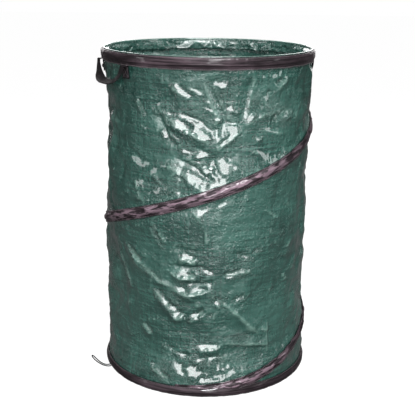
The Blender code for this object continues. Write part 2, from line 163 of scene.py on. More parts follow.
@dataclass(frozen=True)
class BagPlan:
    """The bag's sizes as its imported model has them."""

    radius: float = 0.2285
    height: float = 0.711
    clearance: float = 0.0003
    seat_radius: float = 0.2235
    wall_outer: float = 0.2232
    floor_radius: float = 0.2218
    wall_top: float = 0.7099
    wall_foot: float = 0.0004
    top_band_bottom: float = 0.6842
    foot_band_height: float = 0.021
    tape_width: float = 0.025
    tape_thickness: float = 0.0008
    wire_radius: float = 0.22545
    wire_diameter: float = 0.0025
    coil_bottom: float = 0.0113
    coil_top: float = 0.6966
    coil_start: float = radians(-120)
    coil_span: float = radians(636)
    coil_ease: float = radians(76)
    coil_lean: float = 0.0073
    coil_lean_angle: float = radians(71)
    wall_sag: float = 0.0062
    sag_power: int = 3
    handle_half_span: float = radians(20)
    folded_share: float = 0.099

    @property
    def coil_rise(self) -> float:
        """The coil's climb for each radian of its steady stretch."""
        return (self.coil_top - self.coil_bottom) / (self.coil_span - self.coil_ease)

    @property
    def half_tape(self) -> float:
        """Half the casing's height on the wall, across its slope."""
        slope = self.coil_rise / self.wire_radius
        return self.tape_width / 2 * math.sqrt(1 + slope * slope)

    def coil_height(self, swept: Array) -> Array:
        """Return the coil's height after it has turned from its start.

        Args:
            swept: Angles turned from the coil's lower end.

        Returns:
            The height of the wire's middle at each.
        """
        swept = np.clip(swept, 0, self.coil_span)
        left = self.coil_span - swept
        rise = self.coil_rise * (swept - self.coil_ease / 2)
        start = self.coil_rise * swept**2 / self.coil_ease / 2
        end = self.coil_top - self.coil_bottom - self.coil_rise * left**2 / self.coil_ease / 2
        rise = np.where(swept < self.coil_ease, start, rise)
        rise = np.where(left < self.coil_ease, end, rise)
        hold = ease(np.minimum(swept, left) / self.coil_ease)
        lean = self.coil_lean * np.cos(self.coil_start + swept - self.coil_lean_angle)
        return self.coil_bottom + rise + hold * lean

    def held_stretches(self, angle: Array) -> list[tuple[Array, Array]]:
        """Return the heights between which tape holds the wall, from foot to rim.

        Args:
            angle: Angles round the axis.

        Returns:
            Each stretch's lower and upper heights.
        """
        swept = (angle - self.coil_start) % TURN
        first = self.coil_height(swept)
        second = np.where(
            swept + TURN <= self.coil_span,
            self.coil_height(swept + TURN),
            self.top_band_bottom + self.half_tape,
        )
        half = self.half_tape
        none = np.zeros_like(first)
        return [
            (none, none + self.foot_band_height),
            (first - half, first + half),
            (second - half, second + half),
            (none + self.top_band_bottom, none + self.height),
        ]

    def panel_share(self, angle: Array, height: Array) -> tuple[Array, Array, Array]:
        """Return where places lie between the tapes that hold the wall.

        Args:
            angle: Angles round the axis.
            height: Heights above the ground.

        Returns:
            Each place's distance to the nearest tape, 0 under one, its share of the way
            up the free panel, and that panel's height.
        """
        held = self.held_stretches(angle)
        gap = np.zeros_like(height)
        share = np.zeros_like(height)
        panel = np.zeros_like(height)
        for lower, upper in zip(held, held[1:]):
            free = (height > lower[1]) & (height < upper[0])
            tall = np.where(free, upper[0] - lower[1], 1)
            gap = np.where(free, np.minimum(height - lower[1], upper[0] - height), gap)
            share = np.where(free, (height - lower[1]) / tall, share)
            panel = np.where(free, tall, panel)
        return gap, share, panel

    def wall_radius(self, angle: Array, height: Array) -> Array:
        """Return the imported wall's outer radius, drawn in between the tapes.

        Args:
            angle: Angles round the axis.
            height: Heights above the ground.

        Returns:
            The radius at each place.
        """
        _, share, panel = self.panel_share(angle, height)
        depth = self.wall_sag * ease(2 * panel / (self.coil_rise * TURN))
        return self.wall_outer - depth * (1 - np.abs(2 * share - 1) ** self.sag_power)


PLAN = BagPlan()
HANDLE_ANGLES = {"left": radians(203), "right": radians(33)}
TOGGLE_ANGLE = radians(168)
SEAM_ANGLE = radians(47)
# How much of a strap's packed thickness its webbing fills
CLOTH_SHARE = 0.96


def tail_spots(strap: Pair, ribbon: Pair) -> list[Spot]:
    """Return the places round the rim where tails are sewn to the wall.

    Args:
        strap: Two sizes of each handle's tail.
        ribbon: The same two sizes of the ribbon's tail.

    Returns:
        Each tail's angle with its two sizes.
    """
    span = PLAN.handle_half_span
    straps = [(facing + turn, *strap) for facing in HANDLE_ANGLES.values() for turn in (-span, span)]
    return [*straps, (TOGGLE_ANGLE, *ribbon)]


# Working on the bench: making, shaping and finishing a piece


def only(item: Item) -> None:
    """Select one piece and make it active.

    Args:
        item: The piece.
    """
    bpy.ops.object.select_all(action="DESELECT")
    item.select_set(True)
    bpy.context.view_layer.objects.active = item


def named(item: Item, name: str) -> Item:
    """Name a piece and its mesh, settle its place into the mesh and return it.

    Args:
        item: The piece.
        name: Its name.

    Returns:
        The piece.
    """
    item.name = name
    item.data.name = name
    only(item)
    bpy.ops.object.transform_apply(location=True, rotation=True, scale=True)
    return item


def read_points(mesh: Mesh) -> Array:
    """Return a mesh's points, one row each.

    Args:
        mesh: The mesh.

    Returns:
        The points.
    """
    flat = np.empty(len(mesh.vertices) * 3, dtype=np.float32)
    mesh.vertices.foreach_get("co", flat)
    return flat.reshape(-1, 3).astype(float)


def write_points(mesh: Mesh, points: Array) -> None:
    """Move a mesh's points."""
    mesh.vertices.foreach_set("co", points.astype(np.float32).ravel())
    mesh.update()


def write_flat_map(mesh: Mesh, flat: Array) -> None:
    """Give a mesh a UV map from each point's place on the flat cut, in metres.

    Args:
        mesh: The mesh.
        flat: Each point's place on the flat cut.
    """
    corner = np.empty(len(mesh.loops), dtype=np.int32)
    mesh.loops.foreach_get("vertex_index", corner)
    layer = mesh.uv_layers.active or mesh.uv_layers.new(name="UVMap")
    layer.data.foreach_set("uv", flat[corner].astype(np.float32).ravel())


def write_attribute(mesh: Mesh, name: str, values: Array) -> None:
    """Give a mesh's points a number each under a name."""
    layer = mesh.attributes.new(name, "FLOAT", "POINT")
    layer.data.foreach_set("value", values.astype(np.float32))


def weld(item: Item, distance: float = 1e-6) -> None:
    """Join a piece's points that lie on each other.

    Args:
        item: The piece.
        distance: How near each other they lie.
    """
    only(item)
    bpy.ops.object.mode_set(mode="EDIT")
    bpy.ops.mesh.select_all(action="SELECT")
    bpy.ops.mesh.remove_doubles(threshold=distance)
    bpy.ops.object.mode_set(mode="OBJECT")


def cut_through(place: Sequence[float], normal: Sequence[float], **cleared: bool) -> None:
    """Cut the active piece along a plane.

    Args:
        place: A point on the plane.
        normal: The way that the plane faces.
        **cleared: Which side of it is cleared away, if one is.
    """
    bpy.ops.object.mode_set(mode="EDIT")
    bpy.ops.mesh.select_all(action="SELECT")
    bpy.ops.mesh.bisect(plane_co=place, plane_no=normal, **cleared)
    bpy.ops.object.mode_set(mode="OBJECT")


def close_ends(item: Item) -> None:
    """Close a tube's two open ends.

    Args:
        item: The tube.
    """
    only(item)
    bpy.ops.object.mode_set(mode="EDIT")
    bpy.ops.mesh.select_all(action="DESELECT")
    bpy.ops.mesh.select_non_manifold(extend=False)
    bpy.ops.mesh.edge_face_add()
    bpy.ops.mesh.select_all(action="SELECT")
    bpy.ops.mesh.normals_make_consistent(inside=False)
    bpy.ops.object.mode_set(mode="OBJECT")


def finish_with(item: Item, kind: str, **settings: float | int | bool | str) -> None:
    """Add a modifier to a piece and apply it.

    Args:
        item: The piece.
        kind: Blender's name for the modifier's kind.
        **settings: The modifier's settings.
    """
    only(item)
    step = item.modifiers.new(kind.title(), kind)
    for name, value in settings.items():
        setattr(step, name, value)
    bpy.ops.object.modifier_apply(modifier=step.name)


def soften(item: Item, angle: float = radians(40)) -> None:
    """Shade a piece smooth except at its sharp edges."""
    only(item)
    bpy.ops.object.shade_smooth_by_angle(angle=angle, keep_sharp_edges=False)


def dress(item: Item, finish: "Finish", body: Body, slot: Slot, *nodes: str) -> Item:
    """Give a piece its finish and its body, and hide the solids that it stands for.

    Args:
        item: The piece, with its place in its mesh.
        finish: What it is made of.
        body: The body that it rides on.
        slot: The record's material slot; not used.
        *nodes: The solids that it replaces.

    Returns:
        The piece.
    """
    item.data.materials.clear()
    item.data.materials.append(finish.material())
    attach(item, body.value)
    if nodes:
        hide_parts(*nodes)
    log.info("%s: %d faces, rides on %s", item.name, len(item.data.polygons), body.value)
    return item


def fold_with_coil(item: Item) -> None:
    """Give a piece a mesh of its own."""
    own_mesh(item)


@dataclass(frozen=True)
class FlatCut:
    """A rectangle of cloth, tape or webbing, cut flat before it is laid."""

    name: str
    length: float
    width: float
    columns: int
    rows: int

    def laid(self, way: Way, closed: bool = False) -> Item:
        """Lay the cut on the bag.

        Args:
            way: Gives points in space for shares of the cut's length and width.
            closed: Whether its two ends meet and are joined.

        Returns:
            The piece, with the cut's flat sizes in its UV map.
        """
        bpy.ops.object.select_all(action="DESELECT")
        bpy.ops.mesh.primitive_grid_add(
            x_subdivisions=self.columns, y_subdivisions=self.rows, size=1, location=(0.5, 0.5, 0)
        )
        item = named(bpy.context.object, self.name)
        flat = read_points(item.data)[:, :2]
        write_flat_map(item.data, flat * (self.length, self.width))
        write_points(item.data, way(flat[:, 0], flat[:, 1]))
        if closed:
            weld(item)
        only(item)
        bpy.ops.object.shade_smooth()
        return item


@dataclass(frozen=True)
class StitchRun:
    """A run of lockstitches, modelled once and repeated along its seam."""

    name: str
    count: int
    pitch: float = 0.0040
    length: float = 0.0030
    thread: float = 0.0007
    end_width: float = 0.55
    end_sink: float = 0.45

    def sewn(self, way: Callable[[Array, Array, Array, Array], Array]) -> Item:
        """Sew the run.

        Args:
            way: Gives points for each stitch's number, and for places along it, across
                it and out from the cloth.

        Returns:
            The run as one piece.
        """
        bpy.ops.object.select_all(action="DESELECT")
        bpy.ops.mesh.primitive_cylinder_add(
            vertices=6, radius=self.thread / 2, depth=self.length, rotation=(0, math.pi / 2, 0)
        )
        item = named(bpy.context.object, self.name)
        cut_through((0, 0, 0), (1, 0, 0))
        points = read_points(item.data)
        end = np.abs(points[:, 0]) > self.length / 4
        points[end, 1:] *= self.end_width
        points[end, 2] -= self.thread * self.end_sink
        write_points(item.data, points)
        finish_with(
            item, "ARRAY", count=self.count, use_relative_offset=False,
            use_constant_offset=True, constant_offset_displace=(self.pitch, 0, 0),
        )
        points = read_points(item.data)
        number = np.round(points[:, 0] / self.pitch)
        along = points[:, 0] - number * self.pitch
        write_points(item.data, way(number, along, points[:, 1], points[:, 2]))
        soften(item, radians(70))
        return item


# Crumpled cloth


@dataclass(frozen=True)
class Crumple:
    """Flat facets between sharp creases, as in cloth that has been folded small."""

    spacing: float
    depth: float
    seed: int
    spread: float = 0.42
    end_depth: float = 0.35

    def raster(
        self, size: Pair, cells: tuple[int, int], folds: Sequence[tuple[Array, float]] = ()
    ) -> Array:
        """Return the facets' heights over a cut whose two ends meet.

        Args:
            size: The cut's length and width.
            cells: The raster's cells along each.
            folds: Creases with a place of their own, each a row of points and the depth
                that the crease has all along.

        Returns:
            Heights, one row for each step across the cut.
        """
        draw = np.random.default_rng(self.seed)
        length, width = size
        columns = max(4, round(length / self.spacing))
        rows = max(3, round(width / self.spacing)) + 2
        step = length / columns
        across, along = np.mgrid[0:rows, 0:columns].astype(float)
        jitter = draw.uniform(-self.spread, self.spread, (2, rows, columns))
        x = (along + 0.5 + jitter[0]) * step
        y = (across - 0.5 + jitter[1]) * width / (rows - 2)
        places = np.stack([x.ravel(), y.ravel()], -1)
        depths = draw.uniform(-1, 1, len(places)) * self.depth
        edges = []
        if folds:
            marks = np.concatenate([points for points, _ in folds])
            away = np.hypot(*(places[:, None, :] - marks[None, :, :]).transpose(2, 0, 1))
            kept = away.min(1) > self.spacing * self.spread
            places, depths = places[kept], depths[kept]
            for points, depth in folds:
                first = len(places)
                places = np.concatenate([places, points])
                ends = np.full(len(points), depth)
                ends[0] = ends[-1] = depth * self.end_depth
                depths = np.concatenate([depths, ends])
                edges += [(first + n, first + n + 1) for n in range(len(points) - 1)]
        margin = 3 * self.spacing
        early = places[:, 0] < margin
        late = places[:, 0] > length - margin
        places = np.concatenate([places, places[early] + (length, 0), places[late] - (length, 0)])
        depths = np.concatenate([depths, depths[early], depths[late]])
        return self._filled(places, depths, edges, size, cells)

    @staticmethod
    def _filled(
        places: Array, depths: Array, edges: list[tuple[int, int]], size: Pair, cells: tuple[int, int]
    ) -> Array:
        """Return the heights of the flat facets between places of known depth.

        Args:
            places: The facets' corners on the flat cut.
            depths: The corners' heights.
            edges: Pairs of corners that a crease joins.
            size: The cut's length and width.
            cells: The raster's cells along each.

        Returns:
            Heights, one row for each step across the cut.
        """
        made = delaunay_2d_cdt([Vector(p) for p in places], edges, [], 0, 1e-7)
        level = np.array([depths[origin[0]] if origin else 0.0 for origin in made[3]])
        spot = np.array([tuple(corner) for corner in made[0]])
        spot = spot * (cells[0] / size[0], cells[1] / size[1])
        raster = np.zeros((cells[1] + 1, cells[0] + 1))
        for face in made[2]:
            (ax, ay), (bx, by), (cx, cy) = spot[face]
            left, right = max(0, math.ceil(min(ax, bx, cx))), min(cells[0], int(max(ax, bx, cx)))
            low, high = max(0, math.ceil(min(ay, by, cy))), min(cells[1], int(max(ay, by, cy)))
            whole = (bx - ax) * (cy - ay) - (cx - ax) * (by - ay)
            if left > right or low > high or abs(whole) < 1e-12:
                continue
            x = np.arange(left, right + 1)[None, :] - ax
            y = np.arange(low, high + 1)[:, None] - ay
            second = (x * (cy - ay) - (cx - ax) * y) / whole
            third = ((bx - ax) * y - x * (by - ay)) / whole
            inside = (second >= -1e-9) & (third >= -1e-9) & (second + third <= 1 + 1e-9)
            a, b, c = level[face]
            part = raster[low : high + 1, left : right + 1]
            part[inside] = (a + (b - a) * second + (c - a) * third)[inside]
        return raster


@dataclass(frozen=True)
class Crease:
    """A sharp line pressed into the cloth, steeper on its left than on its right."""

    points: Array
    depth: float
    half: float
    left_share: float = 0.8
    right_share: float = 2.8

    def press(self, raster: Array, size: Pair, shift: float) -> None:
        """Press the crease into a raster of heights.

        Args:
            raster: The heights, changed in place.
            size: The cut's length and width.
            shift: How far along the cut the crease is moved first.
        """
        rows, columns = raster.shape
        step = np.array([size[0] / (columns - 1), size[1] / (rows - 1)])
        line = self.points + (shift, 0)
        reach = self.right_share * self.half
        low = np.maximum(np.ceil((line.min(0) - reach) / step).astype(int), 0)
        high = np.minimum(((line.max(0) + reach) / step).astype(int), (columns - 1, rows - 1))
        if (low > high).any():
            return
        x = np.arange(low[0], high[0] + 1)[None, :] * step[0]
        y = np.arange(low[1], high[1] + 1)[:, None] * step[1]
        nearest = np.full((y.size, x.size), np.inf)
        stand = np.zeros_like(nearest)
        count = len(line) - 1
        for number, (first, second) in enumerate(zip(line, line[1:])):
            run = second - first
            part = np.clip(((x - first[0]) * run[0] + (y - first[1]) * run[1]) / (run @ run), 0, 1)
            away_x, away_y = x - first[0] - part * run[0], y - first[1] - part * run[1]
            away = np.hypot(away_x, away_y)
            left = run[0] * away_y - run[1] * away_x > 0
            along = (number + part) / count
            side = self.half * np.where(left, self.left_share, self.right_share)
            height = np.clip(1 - away / side, 0, 1)
            closer = away < nearest
            stand = np.where(closer, height * (1 - (2 * along - 1) ** 4), stand)
            nearest = np.where(closer, away, nearest)
        raster[low[1] : high[1] + 1, low[0] : high[0] + 1] += self.depth * stand


# The ways that stray creases run on the cut, from its length
STRAY_HEADINGS = (-1.05, -0.75, -0.3, 0.35, 0.8, 1.15, 1.5)


def stray_creases(size: Pair, count: int, seed: int) -> list[Crease]:
    """Return creases at random places on a cut.

    Args:
        size: The cut's length and width.
        count: How many there are.
        seed: The random draw's own number.

    Returns:
        The creases.
    """
    draw = np.random.default_rng(seed)
    made = []
    for _ in range(count):
        place = draw.uniform((0, 0), size)
        heading = draw.choice(STRAY_HEADINGS) + draw.normal(0, 0.25)
        points = [place]
        for _ in range(draw.integers(3, 6)):
            heading += draw.normal(0, 0.25)
            place = place + outward(heading)[:2] * draw.uniform(0.009, 0.024)
            points.append(place)
        depth = draw.choice([-1, 1]) * draw.uniform(0.0007, 0.0019)
        made.append(Crease(np.array(points), depth, draw.uniform(0.004, 0.007)))
    return made


def sampled(raster: Array, along: Array, across: Array) -> Array:
    """Return a raster's heights at shares of its two sides, between its steps.

    Args:
        raster: Heights over a cut.
        along: Shares of its length.
        across: Shares of its width.

    Returns:
        The heights there.
    """
    x = np.clip(along, 0, 1) * (raster.shape[1] - 1)
    y = np.clip(across, 0, 1) * (raster.shape[0] - 1)
    left = np.minimum(x.astype(int), raster.shape[1] - 2)
    low = np.minimum(y.astype(int), raster.shape[0] - 2)
    x, y = x - left, y - low
    lower = raster[low, left] * (1 - x) + raster[low, left + 1] * x
    upper = raster[low + 1, left] * (1 - x) + raster[low + 1, left + 1] * x
    return lower * (1 - y) + upper * y


def blurred(raster: Array, passes: int) -> Array:
    """Return a raster with its creases a little rounded.

    Args:
        raster: Heights over a cut whose two ends meet.
        passes: How many times each step is evened out with its neighbours.

    Returns:
        The evened heights.
    """
    for _ in range(passes):
        body = raster[:, :-1]
        body = (np.roll(body, 1, 1) + 2 * body + np.roll(body, -1, 1)) / 4
        padded = np.pad(body, ((1, 1), (0, 0)), mode="edge")
        body = (padded[:-2] + 2 * padded[1:-1] + padded[2:]) / 4
        raster = np.concatenate([body, body[:, :1]], 1)
    return raster


# Finishes

Tree = bpy.types.NodeTree
Socket = bpy.types.NodeSocket
Node = bpy.types.Node
Value = float | int | tuple[float, ...] | Socket
Colour = tuple[float, ...]


class Bench:
    """A short way to add a node tree's nodes and join them."""

    def __init__(self, tree: Tree) -> None:
        """Start on a tree, with its shader if it has one."""
        self.tree = tree
        self.shader = tree.nodes.get("Principled BSDF")

    def add(self, kind: str, *values: Value | None, **settings: str | float | bool) -> Node:
        """Add a node.

        Args:
            kind: Blender's name for the kind of node, without its ShaderNode.
            *values: What its inputs get, in order: a value, another node's output, or
                None to leave one alone.
            **settings: The node's own settings.

        Returns:
            The node.
        """
        node = self.tree.nodes.new("ShaderNode" + kind)
        for name, value in settings.items():
            setattr(node, name, value)
        for socket, value in zip(node.inputs, values):
            self.feed(socket, value)
        return node

    def feed(self, socket: Socket, value: Value | None) -> None:
        """Give one input a value or another node's output.

        Args:
            socket: The input.
            value: What it gets, or None to leave it alone.
        """
        if isinstance(value, Socket):
            self.tree.links.new(value, socket)
        elif value is not None:
            socket.default_value = value

    def fill(self, values: dict[str, Value]) -> None:
        """Give the shader's inputs their values by name."""
        for title, value in values.items():
            self.feed(self.shader.inputs[title], value)

    def group(self, make: Callable[[], Tree], **values: Value) -> Sequence[Socket]:
        """Place a shared group, which is made when first asked for.

        Args:
            make: Makes the group, and has its name.
            **values: What the group's inputs get.

        Returns:
            The group's outputs.
        """
        node = self.tree.nodes.new("ShaderNodeGroup")
        node.node_tree = bpy.data.node_groups.get(make.__name__) or make()
        for title, value in values.items():
            self.feed(node.inputs[title], value)
        return node.outputs

    def relief(self, height: Value) -> Socket:
        """Return which way the surface faces once it is raised.

        Args:
            height: How far it is raised, in metres.

        Returns:
            The direction's socket.
        """
        bump = self.add("Bump")
        for title, value in {"Strength": 1.0, "Distance": 1.0, "Height": height}.items():
            self.feed(bump.inputs[title], value)
        return bump.outputs[0]

    def marked(self, name: str) -> Socket:
        """Return the numbers that a mesh's points carry under a name."""
        return self.add("Attribute", attribute_name=name).outputs["Fac"]

    def math(self, operation: str, first: Value, second: Value = 0.0) -> Socket:
        """Return the result of a sum on two values."""
        return self.add("Math", first, second, operation=operation).outputs[0]

    def times(self, first: Value, second: Value) -> Socket:
        """Return the product of two values."""
        return self.math("MULTIPLY", first, second)

    def plus(self, first: Value, second: Value) -> Socket:
        """Return the sum of two values."""
        return self.math("ADD", first, second)

    def weighed(self, first: tuple[Value, Value], *rest: tuple[Value, Value]) -> Socket:
        """Return the sum of values, each times its own weight.

        Args:
            first: The first value and its weight.
            *rest: The other values and their weights.

        Returns:
            The sum's socket.
        """
        total = self.times(*first)
        for part in rest:
            total = self.plus(total, self.times(*part))
        return total

    def span(self, value: Value, low: float, high: float, first: float, last: float) -> Socket:
        """Return a value taken from one span, low to high, to another, held at its ends."""
        return self.add("MapRange", value, low, high, first, last).outputs[0]

    def noise(self, place: Value, scale: Value, detail: float, roughness: float = 0.55) -> Socket:
        """Return a soft random pattern, from 0 to 1."""
        return self.add("TexNoise", place, None, scale, detail, roughness).outputs[0]

    def stretched(self, place: Value, factors: Spot) -> Socket:
        """Return a pattern's place with each direction scaled by its own factor."""
        return self.add("VectorMath", place, factors, operation="MULTIPLY").outputs[0]

    def mixed(self, share: Value, first: Value, second: Value) -> Socket:
        """Return the colour between two colours.

        Args:
            share: The second colour's share.
            first: The first colour.
            second: The second colour.

        Returns:
            The colour's socket.
        """
        node = self.add("Mix", data_type="RGBA")
        for number, value in ((0, share), (6, first), (7, second)):
            self.feed(node.inputs[number], value)
        return node.outputs[2]


def group_of(
    name: str, inputs: dict[str, float], outputs: tuple[str, ...]
) -> tuple[Bench, Sequence[Socket], Sequence[Socket]]:
    """Start a shader node group that takes a place.

    Args:
        name: The group's name.
        inputs: Its other inputs' values by their names.
        outputs: The names of its outputs.

    Returns:
        A bench on the group, and the sockets that hold its inputs and its outputs.
    """
    tree = bpy.data.node_groups.new(name, "ShaderNodeTree")
    tree.interface.new_socket("Place", in_out="INPUT", socket_type="NodeSocketVector")
    for title, value in inputs.items():
        socket = tree.interface.new_socket(title, in_out="INPUT", socket_type="NodeSocketFloat")
        socket.default_value = value
    for title in outputs:
        tree.interface.new_socket(title, in_out="OUTPUT", socket_type="NodeSocketFloat")
    enter = tree.nodes.new("NodeGroupInput")
    leave = tree.nodes.new("NodeGroupOutput")
    return Bench(tree), enter.outputs, leave.inputs


def over_and_under_weave() -> Tree:
    """Make the group of flat threads that pass over and under each other.

    Returns:
        The group.
    """
    sizes = {"Along": 0.0025, "Across": 0.0025}
    bench, given, made = group_of("over_and_under_weave", sizes, ("Height", "Over"))
    axes = bench.add("SeparateXYZ", given["Place"]).outputs
    threads = [bench.math("DIVIDE", axes[n], given[title]) for n, title in enumerate(sizes)]
    arches = [bench.math("ABSOLUTE", bench.math("SINE", bench.times(t, math.pi))) for t in threads]
    count = bench.plus(*(bench.math("FLOOR", t) for t in threads))
    over = bench.math("ABSOLUTE", bench.math("MODULO", count, 2.0))
    under = bench.math("SUBTRACT", 1.0, over)
    bench.feed(made["Height"], bench.weighed((arches[0], over), (arches[1], under)))
    bench.feed(made["Over"], over)
    return bench.tree


def pressed_film_creases() -> Tree:
    """Make the group of sharp small creases in a pressed film.

    Returns:
        The group.
    """
    bench, given, made = group_of("pressed_film_creases", {"Size": 0.012}, ("Height", "Crease"))
    scale = bench.math("DIVIDE", 1.0, given["Size"])
    warp = bench.add("TexNoise", given["Place"], None, scale, 2.0, 0.5).outputs[1]
    lift = bench.add("VectorMath", warp, (0.5, 0.5, 0.5), operation="SUBTRACT").outputs[0]
    push = bench.add("VectorMath", lift, operation="SCALE")
    bench.feed(push.inputs["Scale"], bench.times(given["Size"], 0.9))
    place = bench.add("VectorMath", given["Place"], push.outputs[0], operation="ADD").outputs[0]
    wide = bench.add("TexVoronoi", place, None, scale, feature="DISTANCE_TO_EDGE")
    fine = bench.add("TexVoronoi", place, None, bench.times(scale, 2.3), feature="F1")
    edge = wide.outputs["Distance"]
    bench.feed(made["Height"], bench.plus(edge, bench.times(fine.outputs["Distance"], -0.35)))
    bench.feed(made["Crease"], bench.span(edge, 0.0, 0.045, 1.0, 0.0))
    return bench.tree


def handling_marks() -> Tree:
    """Make the group of dust, handling marks and fine scratches.

    Returns:
        The group.
    """
    bench, given, made = group_of("handling_marks", {"Size": 0.05}, ("Marks", "Scratches"))
    scale = bench.math("DIVIDE", 1.0, given["Size"])
    patch = bench.noise(given["Place"], scale, 4.0, 0.6)
    along = bench.stretched(given["Place"], (0.15, 1.0, 1.0))
    streak = bench.noise(along, bench.times(scale, 26.0), 2.0, 0.5)
    bench.feed(made["Marks"], bench.span(patch, 0.42, 0.7, 0.0, 1.0))
    bench.feed(made["Scratches"], bench.span(streak, 0.62, 0.7, 0.0, 1.0))
    return bench.tree


class Finish:
    """What a piece is made of. Each kind builds its own node material once."""

    name: str = "finish"

    def material(self) -> bpy.types.Material:
        """Return the finish's material, built when first asked for.

        Returns:
            The material.
        """
        made = bpy.data.materials.get(self.name)
        if not made:
            made = bpy.data.materials.new(self.name)
            made.use_nodes = True
            self.build(Bench(made.node_tree))
        return made

    def build(self, bench: Bench) -> None:
        """Add the finish's nodes to its shader."""
        raise NotImplementedError


@dataclass(frozen=True)
class Tarpaulin(Finish):
    """Woven green cloth under a glossy film, crushed white along its hardest creases, with a painted
    highlight along its sharpest crests.
    """

    name: str = "green_tarpaulin"
    deep: Colour = (0.0042, 0.0235, 0.0188, 1)
    light: Colour = (0.021, 0.067, 0.054, 1)
    # pressed is the crushed film's white, and also the painted highlight along sharp crests and the
    # hem's fold
    pressed: Colour = (0.12, 0.2, 0.17, 1)
    film_roughness: float = 0.07
    band_width: float = 0.0027
    post_width: float = 0.0024
    crease_sizes: tuple[float, ...] = (0.021, 0.0075, 0.0034)
    thread_height: float = 0.00005
    streak_height: float = 0.0005

    def build(self, bench: Bench) -> None:
        """Add the weave, the film's creases and the uneven green.

        Args:
            bench: The finish's own bench.
        """
        place = bench.add("UVMap").outputs[0]
        crush, crest_white_and_highlight = bench.marked("crush"), bench.marked("crest_white_and_highlight")
        widths = {"Along": self.band_width, "Across": self.post_width}
        weave = bench.group(over_and_under_weave, Place=place, **widths)
        wide, fine, tiny = (
            bench.group(pressed_film_creases, Place=place, Size=size) for size in self.crease_sizes
        )
        bands = bench.noise(bench.stretched(place, (7, 190, 1)), 1.0, 2.0)
        posts = bench.noise(bench.stretched(place, (190, 7, 1)), 1.0, 2.0)
        cloud = bench.noise(place, 9.0, 4.0, 0.6)
        shade = bench.weighed((bands, 0.45), (posts, 0.3), (cloud, 0.55))
        colour = bench.mixed(bench.span(shade, 0.5, 0.8, 0.0, 1.0), self.deep, self.light)
        white_crease_and_highlight = bench.times(fine["Crease"], bench.span(crush, 0.1, 1.0, 0.02, 0.3))
        # Sharp crests are painted towards pressed as well: painted highlight, partly the film's
        # whitening
        white_crease_and_highlight = bench.math("MAXIMUM", white_crease_and_highlight, bench.times(crest_white_and_highlight, 0.4))
        rough = bench.span(cloud, 0.3, 0.7, 0.18, 0.32)
        height = bench.weighed(
            (wide["Height"], 0.0020),
            (fine["Height"], bench.span(crush, 0.0, 1.0, 0.0015, 0.0044)),
            (tiny["Height"], bench.span(crush, 0.0, 1.0, 0.0006, 0.0032)),
            (weave["Height"], self.thread_height),
            (bench.plus(bands, posts), self.streak_height),
        )
        bench.fill(
            {
                "Base Color": bench.mixed(white_crease_and_highlight, colour, self.pressed),
                "Roughness": bench.plus(rough, bench.times(white_crease_and_highlight, 0.1)),
                "Coat Weight": bench.span(cloud, 0.3, 0.75, 1.0, 0.55),
                "Coat Roughness": self.film_roughness,
                "IOR": 1.5,
                "Normal": bench.relief(height),
            }
        )


